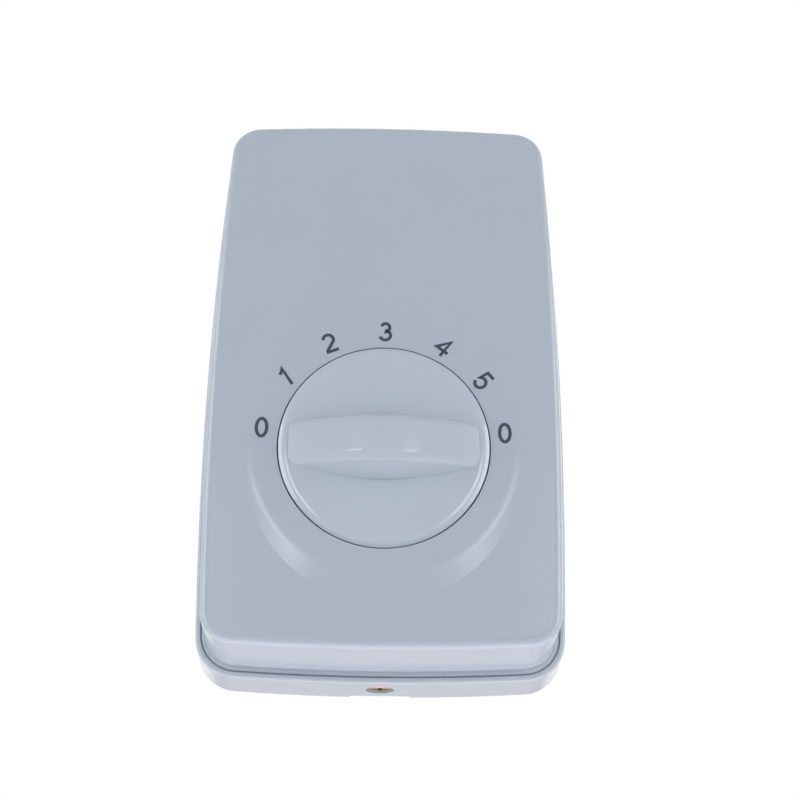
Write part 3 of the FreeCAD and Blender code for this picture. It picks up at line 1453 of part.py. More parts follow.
def make_bracket_screws():
    seat = "bracket_depth + bracket_sheet"
    screws = [
        front_screw("bracket_screw_" + side, x, seat, "choke_middle", "bracket_screw_length")
        for side, x in (("right", "bracket_screw_x"), ("left", "-bracket_screw_x"))
    ]
    return keep(group("bracket_screws", *screws), "bracket_screws")


# terminal block and leads

TERMINAL_SIDES = (
    ("fan", "-terminal_x - terminal_pitch / 2"),
    ("supply", "-terminal_x + terminal_pitch / 2"),
)


def make_terminal_block():
    """Moulded two-way block with tunnels for the clamps and openings over their screws."""
    size = "terminal_width", "terminal_thickness", "terminal_height"
    outer = block("terminal_outer", "-terminal_x", "terminal_depth", "-terminal_z", *size)
    hole = "terminal_depth - overcut", "-terminal_z", "plate_screw_radius + 2 * fit", "box_depth"
    sink = "terminal_depth + terminal_sink", "-terminal_z", "pan_radius + 2 * fit", "box_depth"
    rear = "terminal_depth + terminal_thickness - barrier_depth"
    gap = rear, "-terminal_z", "barrier_width", "barrier_depth + overcut", "2 * terminal_height"
    tools = [
        rod("terminal_fixing", "-terminal_x", *hole),
        rod("terminal_fixing_sink", "-terminal_x", *sink),
        block("terminal_barrier", "-terminal_x", *gap),
    ]
    wide = "insert_size + 2 * fit"
    for side, x in TERMINAL_SIDES:
        tunnel = "insert_depth - fit", "-terminal_z", wide, wide, "2 * terminal_height"
        tools.append(block("tunnel_" + side, x, *tunnel))
        opening = "insert_depth + insert_size / 2", "-terminal_z", "terminal_opening", "box_depth"
        tools.append(rod("screw_opening_" + side, x, *opening))
    return keep(cut("terminal_block", outer, *tools), "terminal_block")


def make_terminal_clamps():
    """Brass clamps with a bore for the wire and a threaded hole for the screw."""
    clamps = []
    for side, x in TERMINAL_SIDES:
        size = "insert_size", "insert_size", "insert_length"
        outer = block("clamp_" + side, x, "insert_depth", "-terminal_z", *size)
        low = "-terminal_z - insert_length"
        bore = upright_rod("clamp_bore_" + side, x, "wire_depth", low, "wire_hole", "2 * insert_length")
        radius = "terminal_screw_radius + fit"
        thread = rod("clamp_thread_" + side, x, "wire_depth", "-terminal_z", radius, "2 * insert_size")
        clamps.append(cut("clamp_whole_" + side, outer, bore, thread))
    return keep(group("terminal_clamps", *clamps), "terminal_clamps")


def make_terminal_screws():
    """Screws that press on the wires, with slotted heads inside the openings of the block."""
    screws = []
    seat = "wire_depth + lead_radius + fit"
    top = "wire_depth + lead_radius + fit + terminal_screw_length"
    for side, x in TERMINAL_SIDES:
        shank_size = "-terminal_z", "terminal_screw_radius", "terminal_screw_length"
        shank = rod("clamp_screw_" + side, x, seat, *shank_size)
        rear = top + " - pan_height"
        head = rod("clamp_head_" + side, x, rear, "-terminal_z", "terminal_head_radius", "pan_height")
        bottom = top + " - slot_deep"
        groove_size = "-terminal_z", "3 * pan_radius", "slot_deep + overcut", "slot_wide"
        groove = block("clamp_slot_" + side, x, bottom, *groove_size)
        joined = fuse("clamp_screw_joined_" + side, shank, head)
        screws.append(cut("clamp_screw_whole_" + side, joined, groove))
    return keep(group("terminal_screws", *screws), "terminal_screws")


def make_terminal_fixing():
    seat = "terminal_depth + terminal_sink"
    place = "-terminal_x", seat, "-terminal_z", "terminal_fixing_length"
    return keep(front_screw("terminal_fixing_screw", *place), "terminal_fixing_screw")


def lead_shape(points, bend):
    """Insulated lead of the lead radius along a route (x, depth, z) with rounded bends."""
    spots = [FreeCAD.Vector(x, -depth, z) for x, depth, z in points]
    edges = []
    start = spots[0]
    for i in range(1, len(spots) - 1):
        before = (spots[i] - spots[i - 1]).normalize()
        after = (spots[i + 1] - spots[i]).normalize()
        turn = before.getAngle(after)
        trim = bend * math.tan(turn / 2)
        first, last = spots[i] - before * trim, spots[i] + after * trim
        inward = (after - before).normalize()
        middle = spots[i] + inward * (bend / math.cos(turn / 2) - bend)
        edges.append(Part.LineSegment(start, first).toShape())
        edges.append(Part.Arc(first, middle, last).toShape())
        start = last
    edges.append(Part.LineSegment(start, spots[-1]).toShape())
    radius = number("lead_radius")
    heading = (spots[1] - spots[0]).normalize()
    section = Part.Wire([Part.Circle(spots[0], heading, radius).toShape()])
    return Part.Wire(edges).makePipeShell([section], True, True)


def keep_lead(name, *routes):
    """The leads follow free routes, so their shape is made from the route itself."""
    lead = doc.addObject("Part::Feature", name)
    solids = [lead_shape(route, number("lead_bend")) for route in routes]
    lead.Shape = solids[0] if len(solids) == 1 else Part.makeCompound(solids)
    lead.Placement = FreeCAD.Placement()
    return keep(lead, name)


def tab_spot(angle, radius):
    """Point over a tab at a radius from the knob axis."""
    turn = math.radians(angle)
    return radius * math.cos(turn), number("lead_depth"), radius * math.sin(turn) - number("knob_drop")


def make_tap_leads():
    """Five leads from the lower flange of the coil to the tabs of the speed contacts."""
    flange_z = number("window_low") + 2 * number("fit")
    depth = number("lead_depth")
    reach = number("tab_reach") - number("lead_overlap")
    routes = []
    for place, angle in enumerate(CONTACT_ANGLES):
        x = (2 - place) * number("tap_spacing")
        start = (x, depth, flange_z)
        turn = (x, depth, flange_z - number("tap_drop"))
        end = tab_spot(angle, reach)
        routes.append((start, end) if angle == 90 else (start, turn, end))
    return keep_lead("tap_leads", *routes)


def make_supply_lead():
    """Lead from the supply clamp to the tab of the slip ring."""
    x = -number("terminal_x") + number("terminal_pitch") / 2
    depth, wire = number("lead_depth"), number("wire_depth")
    run_z = -number("knob_drop") - number("tab_reach") + number("lead_insert")
    route = (
        (x, wire, -number("terminal_end")),
        (x, wire, run_z),
        (x + number("supply_shift"), depth, run_z),
        (number("tab_width") / 2, depth, run_z),
    )
    return keep_lead("supply_lead", route)


def make_fan_lead():
    """Lead from the fan clamp past the switch plate to the start of the coil."""
    x = -number("terminal_x") - number("terminal_pitch") / 2
    depth, wire = number("lead_depth"), number("wire_depth")
    side_x, coil_x = -number("lead_side"), -number("fan_coil_x")
    low, high = -number("fan_low"), number("fan_high")
    route = (
        (x, wire, -number("terminal_end")),
        (x, wire, low - number("fan_slant") + number("lead_insert")),
        (side_x, depth, low + number("lead_insert")),
        (side_x, depth, high),
        (coil_x, depth, high),
        (coil_x, depth, number("window_low") + 2 * number("fit")),
    )
    return keep_lead("fan_lead", route)


def make_everything():
    make_base()
    make_cover()
    make_cover_screw()
    make_knob()
    make_knob_clip()
    make_shaft()
    make_circlip()
    make_switch_front()
    make_bushing_nut()
    make_lock_washer()
    make_switch_housing()
    make_contact_plate()
    make_fixed_contacts()
    make_common_contact()
    make_rotor()
    make_wiper()
    make_detent_wheel()
    make_detent_spring()
    make_switch_rivets()
    make_mounting_plate()
    make_plate_screws()
    make_core_e()
    make_core_i()
    make_bobbin()
    make_winding()
    make_tape()
    make_bracket()
    make_bracket_screws()
    make_terminal_block()
    make_terminal_clamps()
    make_terminal_screws()
    make_terminal_fixing()
    make_tap_leads()
    make_supply_lead()
    make_fan_lead()


def check_document():
    doc.recompute()
    for obj in doc.Objects:
        if "Invalid" in obj.State or "Error" in obj.State:
            raise RuntimeError("failed: %s %s" % (obj.Name, obj.State))
    for obj, name in made:
        if obj.Shape.isNull() or not obj.Shape.isValid():
            raise RuntimeError("no valid shape: " + name)


def write_parts():
    os.makedirs("parts", exist_ok=True)
    for obj, name in made:
        obj.Shape.exportStep("parts/%s.step" % name)


make_everything()
check_document()
write_parts()
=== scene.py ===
"""Looks of a surface-mounted rotary fan speed regulator: glossy white box, round knob, printed dial."""
import bpy
import math
from mathutils import Matrix, Vector


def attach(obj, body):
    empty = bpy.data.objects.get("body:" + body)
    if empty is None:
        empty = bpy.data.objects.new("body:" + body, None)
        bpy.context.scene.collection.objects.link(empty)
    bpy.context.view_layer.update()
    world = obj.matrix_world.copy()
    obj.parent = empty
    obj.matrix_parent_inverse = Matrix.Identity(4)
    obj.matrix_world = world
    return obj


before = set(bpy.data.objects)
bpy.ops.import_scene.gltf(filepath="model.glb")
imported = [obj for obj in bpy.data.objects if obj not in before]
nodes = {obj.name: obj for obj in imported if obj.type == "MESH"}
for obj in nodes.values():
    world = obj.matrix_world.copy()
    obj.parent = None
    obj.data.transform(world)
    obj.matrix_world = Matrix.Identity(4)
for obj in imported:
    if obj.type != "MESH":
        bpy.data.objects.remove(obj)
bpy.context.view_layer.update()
scene = bpy.context.scene
MM = 0.001

# most values of a noise texture lie between these two
NOISE_LOW = 0.3
NOISE_HIGH = 0.7

# how much rougher the dull spots of a surface are than its glossy ones
GLOSSY_SPREAD = 0.04
SATIN_SPREAD = 0.12
METAL_SPREAD = 0.15


def linear(hex_colour):
    """Linear colour with full alpha from an sRGB hex value."""
    parts = [int(hex_colour[i:i + 2], 16) / 255 for i in (1, 3, 5)]
    return [c / 12.92 if c <= 0.04045 else ((c + 0.055) / 1.055) ** 2.4 for c in parts] + [1.0]


def add(tree, kind, inputs=None, **settings):
    """Add one shader node, set its properties and fill or link its inputs by name or number.

    By number, Mix takes its factor at 0 and two colours at 6 and 7, and Map Range takes a value,
    the range that it comes from at 1 and 2, and the range that it goes to at 3 and 4.
    """
    node = tree.nodes.new(kind)
    for name, value in settings.items():
        setattr(node, name, value)
    for name, value in (inputs or {}).items():
        if isinstance(value, bpy.types.NodeSocket):
            tree.links.new(value, node.inputs[name])
        else:
            node.inputs[name].default_value = value
    return node


def new_material(name):
    """Material with an empty tree."""
    material = bpy.data.materials.new(name)
    material.use_nodes = True
    material.node_tree.nodes.clear()
    return material, material.node_tree


def per_mm(size):
    """Texture scale, on coordinates in metres, for a pattern of a size in millimetres."""
    return 1 / (size * MM)


def wave_per_mm(size):
    """Scale of a wave texture for lines of a size in millimetres: at scale 1 a wave is 2 pi / 20 long."""
    return per_mm(size) * math.pi / 10


def glossy_moulding(name, low, high, gloss):
    """Injection-moulded ABS from a polished mould: an even white with a high gloss.

    Its faint waviness bends the reflections, and a little light soaks into the plastic and
    brightens the narrow gaps.
    """
    material, tree = new_material(name)
    place = add(tree, "ShaderNodeTexCoord").outputs["Object"]
    cloud = add(tree, "ShaderNodeTexNoise", {"Vector": place, "Scale": per_mm(26)})
    colour = add(tree, "ShaderNodeMix", {0: cloud.outputs[0], 6: linear(low), 7: linear(high)},
                 data_type="RGBA")
    wear = add(tree, "ShaderNodeTexNoise", {"Vector": place, "Scale": per_mm(7), "Detail": 4.0})
    rough = add(tree, "ShaderNodeMapRange", {
        0: wear.outputs[0], 1: NOISE_LOW, 2: NOISE_HIGH, 3: gloss, 4: gloss + GLOSSY_SPREAD,
    })
    wave = add(tree, "ShaderNodeTexNoise", {"Vector": place, "Scale": per_mm(11), "Detail": 1.0})
    bump = add(tree, "ShaderNodeBump", {"Height": wave.outputs[0], "Distance": 0.012 * MM, "Strength": 1.0})
    main = add(tree, "ShaderNodeBsdfPrincipled", {
        "Base Color": colour.outputs[2],
        "Roughness": rough.outputs[0],
        "Normal": bump.outputs[0],
        "IOR": 1.53,
        "Subsurface Weight": 0.3,
        "Subsurface Radius": (1.0, 0.9, 0.75),
        "Subsurface Scale": 0.6 * MM,
    })
    add(tree, "ShaderNodeOutputMaterial", {"Surface": main.outputs[0]})
    return material


def plain_moulding(name, low, high, rough, grain=0.6):
    """Engineering plastic from an unpolished mould: satin with a fine grain."""
    material, tree = new_material(name)
    place = add(tree, "ShaderNodeTexCoord").outputs["Object"]
    cloud = add(tree, "ShaderNodeTexNoise", {"Vector": place, "Scale": per_mm(9)})
    colour = add(tree, "ShaderNodeMix", {0: cloud.outputs[0], 6: linear(low), 7: linear(high)},
                 data_type="RGBA")
    wear = add(tree, "ShaderNodeTexNoise", {"Vector": place, "Scale": per_mm(3), "Detail": 4.0})
    sheen = add(tree, "ShaderNodeMapRange", {
        0: wear.outputs[0], 1: NOISE_LOW, 2: NOISE_HIGH, 3: rough, 4: rough + SATIN_SPREAD,
    })
    skin = add(tree, "ShaderNodeTexNoise", {"Vector": place, "Scale": per_mm(grain), "Detail": 3.0})
    bump = add(tree, "ShaderNodeBump", {"Height": skin.outputs[0], "Distance": 0.02 * MM, "Strength": 1.0})
    main = add(tree, "ShaderNodeBsdfPrincipled", {
        "Base Color": colour.outputs[2],
        "Roughness": sheen.outputs[0],
        "Normal": bump.outputs[0],
        "IOR": 1.5,
    })
    add(tree, "ShaderNodeOutputMaterial", {"Surface": main.outputs[0]})
    return material


def bare_metal(name, low, high, rough, grain=(0.25, 0.25, 4.0)):
    """Drawn or rolled metal: streaks as long and wide as the grain, with a gloss that follows them."""
    material, tree = new_material(name)
    place = add(tree, "ShaderNodeTexCoord").outputs["Object"]
    along = add(tree, "ShaderNodeMapping", {0: place, "Scale": [per_mm(g) for g in grain]})
    lines = add(tree, "ShaderNodeTexNoise", {"Vector": along.outputs[0], "Scale": 1.0, "Detail": 5.0})
    colour = add(tree, "ShaderNodeMix", {0: lines.outputs[0], 6: linear(low), 7: linear(high)},
                 data_type="RGBA")
    sheen = add(tree, "ShaderNodeMapRange", {
        0: lines.outputs[0], 1: NOISE_LOW, 2: NOISE_HIGH, 3: rough, 4: rough + METAL_SPREAD,
    })
    bump = add(tree, "ShaderNodeBump", {"Height": lines.outputs[0], "Distance": 0.008 * MM, "Strength": 1.0})
    main = add(tree, "ShaderNodeBsdfPrincipled", {
        "Base Color": colour.outputs[2],
        "Metallic": 1.0,
        "Roughness": sheen.outputs[0],
        "Normal": bump.outputs[0],
    })
    add(tree, "ShaderNodeOutputMaterial", {"Surface": main.outputs[0]})
    return material


def chromate(name):
    """Zinc plating with a yellow passivation: brassy, with pinkish and greenish spots of 1.2 mm."""
    material, tree = new_material(name)
    place = add(tree, "ShaderNodeTexCoord").outputs["Object"]
    bloom = add(tree, "ShaderNodeTexNoise", {"Vector": place, "Scale": per_mm(1.2), "Detail": 3.0})
    colour = add(tree, "ShaderNodeValToRGB", {0: bloom.outputs[0]})
    colour.color_ramp.elements[0].position = 0.35
    colour.color_ramp.elements[0].color = linear("#B9BE6E")
    colour.color_ramp.elements[1].position = 0.65
    colour.color_ramp.elements[1].color = linear("#E6A896")
    colour.color_ramp.elements.new(0.5).color = linear("#E8CF7C")
    grit = add(tree, "ShaderNodeTexNoise", {"Vector": place, "Scale": per_mm(0.5), "Detail": 3.0})
    sheen = add(tree, "ShaderNodeMapRange", {
        0: grit.outputs[0], 1: NOISE_LOW, 2: NOISE_HIGH, 3: 0.12, 4: 0.25,
    })
    bump = add(tree, "ShaderNodeBump", {"Height": grit.outputs[0], "Distance": 0.05 * MM, "Strength": 1.0})
    main = add(tree, "ShaderNodeBsdfPrincipled", {
        "Base Color": colour.outputs[0],
        "Metallic": 1.0,
        "Roughness": sheen.outputs[0],
        "Normal": bump.outputs[0],
    })
    add(tree, "ShaderNodeOutputMaterial", {"Surface": main.outputs[0]})
    return material


def wound_wire(name):
    """Enamelled copper wire in layers: turns 0.5 mm apart side by side under a clear coat of enamel."""
    material, tree = new_material(name)
    place = add(tree, "ShaderNodeTexCoord").outputs["Object"]
    turns = add(tree, "ShaderNodeTexWave", {"Vector": place, "Scale": wave_per_mm(0.5), "Distortion": 0.3},
                bands_direction="Z", wave_profile="SIN")
    cloud = add(tree, "ShaderNodeTexNoise", {"Vector": place, "Scale": per_mm(3)})
    colour = add(tree, "ShaderNodeMix", {0: cloud.outputs[0], 6: linear("#8E4A22"), 7: linear("#B0662F")},
                 data_type="RGBA")
    bump = add(tree, "ShaderNodeBump", {"Height": turns.outputs[1], "Distance": 0.15 * MM, "Strength": 1.0})
    main = add(tree, "ShaderNodeBsdfPrincipled", {
        "Base Color": colour.outputs[2],
        "Metallic": 0.9,
        "Roughness": 0.3,
        "Normal": bump.outputs[0],
        "Coat Weight": 0.6,
        "Coat Roughness": 0.12,
    })
    add(tree, "ShaderNodeOutputMaterial", {"Surface": main.outputs[0]})
    return material


def stacked_sheets(name):
    """Silicon steel laminations 0.5 mm thick seen on edge: fine dark lines and a little rust."""
    material, tree = new_material(name)
    place = add(tree, "ShaderNodeTexCoord").outputs["Object"]
    edges = add(tree, "ShaderNodeTexWave", {"Vector": place, "Scale": wave_per_mm(0.5)},
                bands_direction="Y", wave_profile="SIN")
    cloud = add(tree, "ShaderNodeTexNoise", {"Vector": place, "Scale": per_mm(4), "Detail": 4.0})
    colour = add(tree, "ShaderNodeMix", {0: cloud.outputs[0], 6: linear("#4A4B4E"), 7: linear("#6B625A")},
                 data_type="RGBA")
    sheen = add(tree, "ShaderNodeMapRange", {0: edges.outputs[1], 3: 0.35, 4: 0.6})
    bump = add(tree, "ShaderNodeBump", {"Height": edges.outputs[1], "Distance": 0.06 * MM, "Strength": 1.0})
    main = add(tree, "ShaderNodeBsdfPrincipled", {
        "Base Color": colour.outputs[2],
        "Metallic": 0.85,
        "Roughness": sheen.outputs[0],
        "Normal": bump.outputs[0],
    })
    add(tree, "ShaderNodeOutputMaterial", {"Surface": main.outputs[0]})
    return material


def pressed_paper(name):
    """Paper laminate bonded with phenolic resin: brown, satin, with faint fibres along the sheet."""
    material, tree = new_material(name)
    place = add(tree, "ShaderNodeTexCoord").outputs["Object"]
    along = add(tree, "ShaderNodeMapping", {0: place, "Scale": (per_mm(0.4), per_mm(1.0), per_mm(2.5))})
    fibres = add(tree, "ShaderNodeTexNoise", {"Vector": along.outputs[0], "Scale": 1.0, "Detail": 5.0})
    colour = add(tree, "ShaderNodeMix", {0: fibres.outputs[0], 6: linear("#6E4526"), 7: linear("#8A5A33")},
                 data_type="RGBA")
    sheen = add(tree, "ShaderNodeMapRange", {
        0: fibres.outputs[0], 1: NOISE_LOW, 2: NOISE_HIGH, 3: 0.38, 4: 0.55,
    })
    main = add(tree, "ShaderNodeBsdfPrincipled", {
        "Base Color": colour.outputs[2],
        "Roughness": sheen.outputs[0],
        "IOR": 1.55,
    })
    add(tree, "ShaderNodeOutputMaterial", {"Surface": main.outputs[0]})
    return material


def cable_sleeve(name, low, high):
    """Soft PVC sleeve of a lead: even colour with a dull sheen and faint handling marks."""
    material, tree = new_material(name)
    place = add(tree, "ShaderNodeTexCoord").outputs["Object"]
    cloud = add(tree, "ShaderNodeTexNoise", {"Vector": place, "Scale": per_mm(5)})
    colour = add(tree, "ShaderNodeMix", {0: cloud.outputs[0], 6: linear(low), 7: linear(high)},
                 data_type="RGBA")
    marks = add(tree, "ShaderNodeTexNoise", {"Vector": place, "Scale": per_mm(1.2), "Detail": 3.0})
    sheen = add(tree, "ShaderNodeMapRange", {
        0: marks.outputs[0], 1: NOISE_LOW, 2: NOISE_HIGH, 3: 0.35, 4: 0.48,
    })
    bump = add(tree, "ShaderNodeBump", {"Height": marks.outputs[0], "Distance": 0.01 * MM, "Strength": 1.0})
    main = add(tree, "ShaderNodeBsdfPrincipled", {
        "Base Color": colour.outputs[2],
        "Roughness": sheen.outputs[0],
        "Normal": bump.outputs[0],
        "IOR": 1.53,
    })
    add(tree, "ShaderNodeOutputMaterial", {"Surface": main.outputs[0]})
    return material


def printed_ink(name):
    """Pad-printed ink: dark grey, matter than the plastic and a little uneven."""
    material, tree = new_material(name)
    place = add(tree, "ShaderNodeTexCoord").outputs["Object"]
    cloud = add(tree, "ShaderNodeTexNoise", {"Vector": place, "Scale": per_mm(0.35), "Detail": 3.0})
    colour = add(tree, "ShaderNodeMix", {0: cloud.outputs[0], 6: linear("#2E3640"), 7: linear("#3E4651")},
                 data_type="RGBA")
    sheen = add(tree, "ShaderNodeMapRange", {
        0: cloud.outputs[0], 1: NOISE_LOW, 2: NOISE_HIGH, 3: 0.4, 4: 0.55,
    })
    main = add(tree, "ShaderNodeBsdfPrincipled", {
        "Base Color": colour.outputs[2],
        "Roughness": sheen.outputs[0],
        "IOR": 1.48,
    })
    add(tree, "ShaderNodeOutputMaterial", {"Surface": main.outputs[0]})
    return material


# floor, in metres; the lift is what the camera sees on top of the lamps' light
FLOOR_HALF = 3.0
FLOOR_LEVEL = -0.42
FLOOR_LIFT = 0.4


def painted_board(name):
    """Floor board in matt white paint: nearly even, with the soft blotches of a roller.

    The camera alone sees it a little brighter than the lamps make it, so that it stays pale.
    """
    material, tree = new_material(name)
    place = add(tree, "ShaderNodeTexCoord").outputs["Object"]
    cloud = add(tree, "ShaderNodeTexNoise", {"Vector": place, "Scale": per_mm(200)})
    colour = add(tree, "ShaderNodeMix", {0: cloud.outputs[0], 6: linear("#F2F3F5"), 7: linear("#F6F7F8")},
                 data_type="RGBA")
    path = add(tree, "ShaderNodeLightPath")
    lift = add(tree, "ShaderNodeMath", {0: path.outputs["Is Camera Ray"], 1: FLOOR_LIFT},
               operation="MULTIPLY")
    main = add(tree, "ShaderNodeBsdfPrincipled", {
        "Base Color": colour.outputs[2],
        "Roughness": 0.8,
        "IOR": 1.45,
        "Emission Color": colour.outputs[2],
        "Emission Strength": lift.outputs[0],
    })
    add(tree, "ShaderNodeOutputMaterial", {"Surface": main.outputs[0]})
    return material


def dress(material, *names):
    """Give the model's own pieces their finish."""
    for name in names:
        slots = nodes[name].material_slots
        for slot in slots:
            slot.material = material
        if not slots:
            nodes[name].data.materials.append(material)


def dress_all():
    """Every node's material and how it was made."""
    dress(glossy_moulding("moulded_abs_box", "#BDC4CC", "#C0C7CF", 0.16), "base", "cover")
    dress(glossy_moulding("moulded_abs_knob", "#C6CED6", "#C9D1D8", 0.1), "knob")
    dress(chromate("zinc_plated_screw"), "cover_screw", "plate_screws", "bracket_screws")
    dress(chromate("zinc_plated_terminal_screw"), "terminal_screws", "terminal_fixing_screw")
    dress(bare_metal("blued_spring_steel", "#4B4E55", "#5F636B", 0.3), "knob_clip", "circlip", "lock_washer")
    dress(bare_metal("rolled_spring_strip", "#7C7F84", "#8F9297", 0.25), "detent_spring")
    dress(bare_metal("turned_steel_shaft", "#9A9C9F", "#B0B2B4", 0.2, (0.5, 0.12, 0.5)), "switch_shaft")
    dress(bare_metal("nickel_plated_brass_nut", "#B8B29C", "#C9C3AE", 0.22), "bushing_nut")
    dress(bare_metal("zinc_plated_sheet", "#A9ADB0", "#BCC0C3", 0.3, (3, 0.4, 0.4)),
          "switch_front_plate", "mounting_plate", "core_bracket")
    dress(plain_moulding("moulded_phenolic", "#2A2522", "#37302B", 0.32), "switch_housing")
    dress(pressed_paper("paper_phenolic_laminate"), "contact_plate")
    dress(bare_metal("silvered_brass_contact", "#B79A62", "#C8AD78", 0.28),
          "speed_contacts", "common_contact")
    dress(bare_metal("brass_rivet", "#B08D4C", "#C39F5B", 0.3), "switch_rivets", "terminal_clamps")
    dress(bare_metal("phosphor_bronze_strip", "#A8703F", "#BC8450", 0.26, (4, 0.4, 0.4)), "wiper")
    dress(plain_moulding("moulded_acetal", "#DAD9D2", "#E4E3DC", 0.3), "contact_rotor", "detent_wheel")
    dress(stacked_sheets("silicon_steel_laminations"), "core_e_stack", "core_i_stack")
    dress(plain_moulding("moulded_nylon_bobbin", "#D8D4C4", "#E2DECF", 0.38), "bobbin")
    dress(wound_wire("enamelled_copper_wire"), "winding")
    dress(plain_moulding("polyester_tape", "#B9A24A", "#C8B25A", 0.22, 1.5), "winding_tape")
    dress(plain_moulding("moulded_polyamide_block", "#D6D6D0", "#E0E0DA", 0.34), "terminal_block")
    dress(cable_sleeve("pvc_sleeve_tap", "#C9C4B8", "#D6D1C6"), "tap_leads")
    dress(cable_sleeve("pvc_sleeve_supply", "#8E2B22", "#9E362B"), "supply_lead")
    dress(cable_sleeve("pvc_sleeve_fan", "#22375E", "#2C436D"), "fan_lead")


# printed dial, in millimetres; its centre lies a little above and left of the knob's axis
KNOB_AXIS_Z = -18.0
DIAL_X = -0.2
DIAL_Z = KNOB_AXIS_Z + 0.4
DIGIT_RING = 24.7
DIGIT_HEIGHT = 4.4
DIGIT_STROKE = 0.68
INK_THICKNESS = 0.02
# a ray that finds the cover's face starts this far in front of the wall
RAY_START = 60
# a stroke's corner reaches out at most this many half widths
CORNER_REACH = 2.2
# the cosine at a corner counts as at least this, so that nothing is divided by zero
SMALLEST_COSINE = 0.3
# a stroke whose ends lie closer than this, in digit heights, is a closed loop
LOOP_GAP = 0.001
# digit, its place in degrees clockwise from the top, its own turn anticlockwise
DIGITS = (("0", -83, 0), ("1", -55, 34), ("2", -27.5, 23), ("3", 0.5, 0), ("4", 30, -38), ("5", 55.5, -50),
          ("0", 84, 0))


def sweep(x, z, wide, high, start, end, steps=18):
    """Points of an elliptic arc between two angles in degrees."""
    angles = [math.radians(start + (end - start) * i / steps) for i in range(steps + 1)]
    return [(x + wide * math.cos(a), z + high * math.sin(a)) for a in angles]


def digit_strokes(digit):
    """Middle lines of the strokes of a digit whose height is 1, about its centre."""
    if digit == "0":
        return [sweep(0, 0, 0.24, 0.43, 90, 450, 32)]
    if digit == "1":
        return [[(-0.17, 0.21), (-0.03, 0.3), (0.07, 0.43), (0.07, -0.5)]]
    if digit == "2":
        return [sweep(0, 0.18, 0.24, 0.25, 165, -38) + [(-0.22, -0.35), (-0.23, -0.43), (0.3, -0.43)]]
    if digit == "3":
        return [sweep(-0.01, 0.215, 0.2, 0.215, 160, -80) + sweep(-0.02, -0.19, 0.25, 0.24, 78, -165)]
    if digit == "4":
        return [[(0.12, -0.48), (0.12, 0.4), (-0.3, -0.17), (0.35, -0.17)]]
    return [[(0.27, 0.43), (-0.14, 0.43), (-0.21, 0.0)] + sweep(0, -0.16, 0.25, 0.27, 128, -160)]


def ribbon(line, half, closed):
    """Left and right edges of a stroke of a given half width along its middle line."""
    edges = []
    count = len(line)
    for i, spot in enumerate(line):
        before = line[i - 1] if i else (line[-2] if closed else None)
        after = line[i + 1] if i + 1 < count else (line[1] if closed else None)
        ways = []
        if before:
            ways.append((Vector(spot) - Vector(before)).normalized())
        if after:
            ways.append((Vector(after) - Vector(spot)).normalized())
        way = sum(ways, Vector((0, 0))).normalized()
        reach = min(half / max(way.dot(ways[0]), SMALLEST_COSINE), CORNER_REACH * half)
        side = Vector((-way.y, way.x)) * reach
        edges.append((Vector(spot) + side, Vector(spot) - side))
    return edges


def printed_digit(name, digit, x, z, turn, ink):
    """Thin solid of ink in the shape of a digit, laid on the front of the cover."""
    verts, faces = [], []
    turning = Matrix.Rotation(math.radians(turn), 2)
    half = DIGIT_STROKE / DIGIT_HEIGHT / 2
    for line in digit_strokes(digit):
        closed = (Vector(line[0]) - Vector(line[-1])).length < LOOP_GAP
        edges = ribbon(line, half, closed)
        if closed:
            edges.pop()
        first, count = len(verts), len(edges)
        for pair in edges:
            for corner in pair:
                flat = turning @ corner * DIGIT_HEIGHT
                start = Vector((x + flat.x, -RAY_START, z + flat.y)) * MM
                _, spot, _, _ = nodes["cover"].ray_cast(start, Vector((0, 1, 0)))
                # the ink stands as far in front of the face as it reaches behind it
                verts.append(spot + Vector((0, -INK_THICKNESS * MM, 0)))
                verts.append(spot + Vector((0, INK_THICKNESS * MM, 0)))
        for i in range(count if closed else count - 1):
            a, b = first + 4 * i, first + 4 * ((i + 1) % count)
            faces.append((a, b, b + 2, a + 2))
            faces.append((a + 1, a + 3, b + 3, b + 1))
            faces.append((a, a + 1, b + 1, b))
            faces.append((a + 2, b + 2, b + 3, a + 3))
        if not closed:
            a, b = first, first + 4 * (count - 1)
            faces.append((a, a + 2, a + 3, a + 1))
            faces.append((b, b + 1, b + 3, b + 2))
    mesh = bpy.data.meshes.new(name)
    mesh.from_pydata(verts, [], faces)
    mesh.materials.append(ink)
    piece = bpy.data.objects.new(name, mesh)
    scene.collection.objects.link(piece)
    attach(piece, "housing")


def print_digits():
    """The dial's seven digits, each on its place round the knob."""
    ink = printed_ink("pad_printed_ink")
    bpy.context.view_layer.update()
    for place, (digit, clockwise, turn) in enumerate(DIGITS):
        angle = math.radians(90 - clockwise)
        x, z = DIAL_X + DIGIT_RING * math.cos(angle), DIAL_Z + DIGIT_RING * math.sin(angle)
        printed_digit("dial_digit_%d_%s" % (place, digit), digit, x, z, turn, ink)


# the photograph's view: the camera's place in millimetres, its angles in degrees
CAMERA_PLACE = (-1.3, -248.0, -96.5)
CAMERA_TILT = 22.0
CAMERA_YAW = -1.16
CAMERA_ROLL = 0.52
# the focal length as found from the photograph, in pixels of a picture of this width
FOCAL_PIXELS = 1156
PICTURE_PIXELS = 800
SENSOR_WIDTH = 36.0


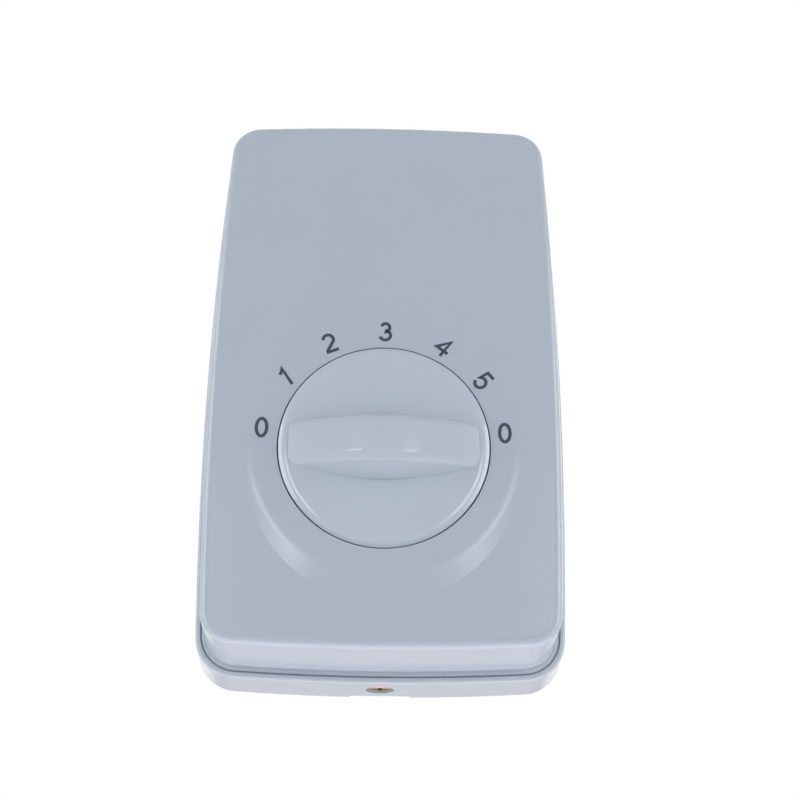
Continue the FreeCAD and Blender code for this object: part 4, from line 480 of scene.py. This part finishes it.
def set_camera():
    """The photograph's view: from the front, a little left, well below the middle, tilted up."""
    camera = bpy.data.objects.new("camera", bpy.data.cameras.new("camera"))
    scene.collection.objects.link(camera)
    level = Matrix.Rotation(math.radians(90), 4, "X")
    yaw = Matrix.Rotation(math.radians(CAMERA_YAW), 4, "Y")
    tilt = Matrix.Rotation(math.radians(CAMERA_TILT), 4, "X")
    roll = Matrix.Rotation(math.radians(CAMERA_ROLL), 4, "Z")
    camera.matrix_world = Matrix.Translation(Vector(CAMERA_PLACE) * MM) @ level @ yaw @ tilt @ roll
    camera.data.sensor_width = SENSOR_WIDTH
    camera.data.lens = SENSOR_WIDTH * FOCAL_PIXELS / PICTURE_PIXELS
    camera.data.clip_start = 0.01
    scene.camera = camera


# lamp colours, and the brightness of the room's own light
COOL = "#F4F8FF"
WARM = "#FFF1F2"
ROOM_COLOUR = "#E6ECF4"
ROOM_LIGHT = 0.44
MIDDLE = (0, 0, 0)


def softbox(name, place, target, size, power, colour="#FFFFFF"):
    """Rectangular lamp at a place, facing a target; places and sizes in metres, power in watts."""
    lamp = bpy.data.lights.new(name, "AREA")
    lamp.shape = "RECTANGLE"
    lamp.size, lamp.size_y = size
    lamp.energy = power
    lamp.color = linear(colour)[:3]
    holder = bpy.data.objects.new(name, lamp)
    scene.collection.objects.link(holder)
    holder.location = place
    holder.visible_camera = False
    holder.rotation_euler = (Vector(target) - Vector(place)).to_track_quat("-Z", "Y").to_euler()


def set_light():
    """Soft lamps at both sides, below and behind, in a room that the camera sees as white."""
    sides = (("left", -1), ("right", 1))
    for name, side in sides:
        softbox("softbox_" + name, (side * 1.2, -0.42, 0.15), MIDDLE, (0.5, 1.1), 6.2, COOL)
    for name, side in sides:
        softbox("strip_" + name, (side * 0.34, -1.15, 0.16), MIDDLE, (0.16, 0.4), 0.9, COOL)
    softbox("softbox_below", (0.0, 0.07, -0.39), (0, 0, -0.02), (0.9, 0.3), 1.35, WARM)
    softbox("softbox_behind", (0.3, 1.0, 0.6), MIDDLE, (0.9, 0.9), 3.0)
    world = bpy.data.worlds.new("studio")
    scene.world = world
    world.use_nodes = True
    tree = world.node_tree
    tree.nodes.clear()
    path = add(tree, "ShaderNodeLightPath")
    seen = add(tree, "ShaderNodeMath", {0: path.outputs["Is Camera Ray"], 1: path.outputs["Is Glossy Ray"]},
               operation="MAXIMUM")
    seen = add(tree, "ShaderNodeMath", {0: seen.outputs[0], 1: path.outputs["Is Transmission Ray"]},
               operation="MAXIMUM")
    fill = add(tree, "ShaderNodeBackground", {"Color": linear(ROOM_COLOUR), "Strength": ROOM_LIGHT})
    backdrop = add(tree, "ShaderNodeBackground", {"Color": (1, 1, 1, 1), "Strength": 1.0})
    both = add(tree, "ShaderNodeMixShader", {0: seen.outputs[0], 1: fill.outputs[0], 2: backdrop.outputs[0]})
    add(tree, "ShaderNodeOutputWorld", {"Surface": both.outputs[0]})


def lay_floor():
    """Plain pale floor well below the part."""
    mesh = bpy.data.meshes.new("floor")
    turns = ((-1, -1), (1, -1), (1, 1), (-1, 1))
    corners = [(x * FLOOR_HALF, y * FLOOR_HALF, FLOOR_LEVEL) for x, y in turns]
    mesh.from_pydata(corners, [], [(0, 1, 2, 3)])
    mesh.materials.append(painted_board("painted_board"))
    floor = bpy.data.objects.new("floor", mesh)
    scene.collection.objects.link(floor)


dress_all()
print_digits()
set_camera()
set_light()
lay_floor()

scene.view_settings.view_transform = "Standard"
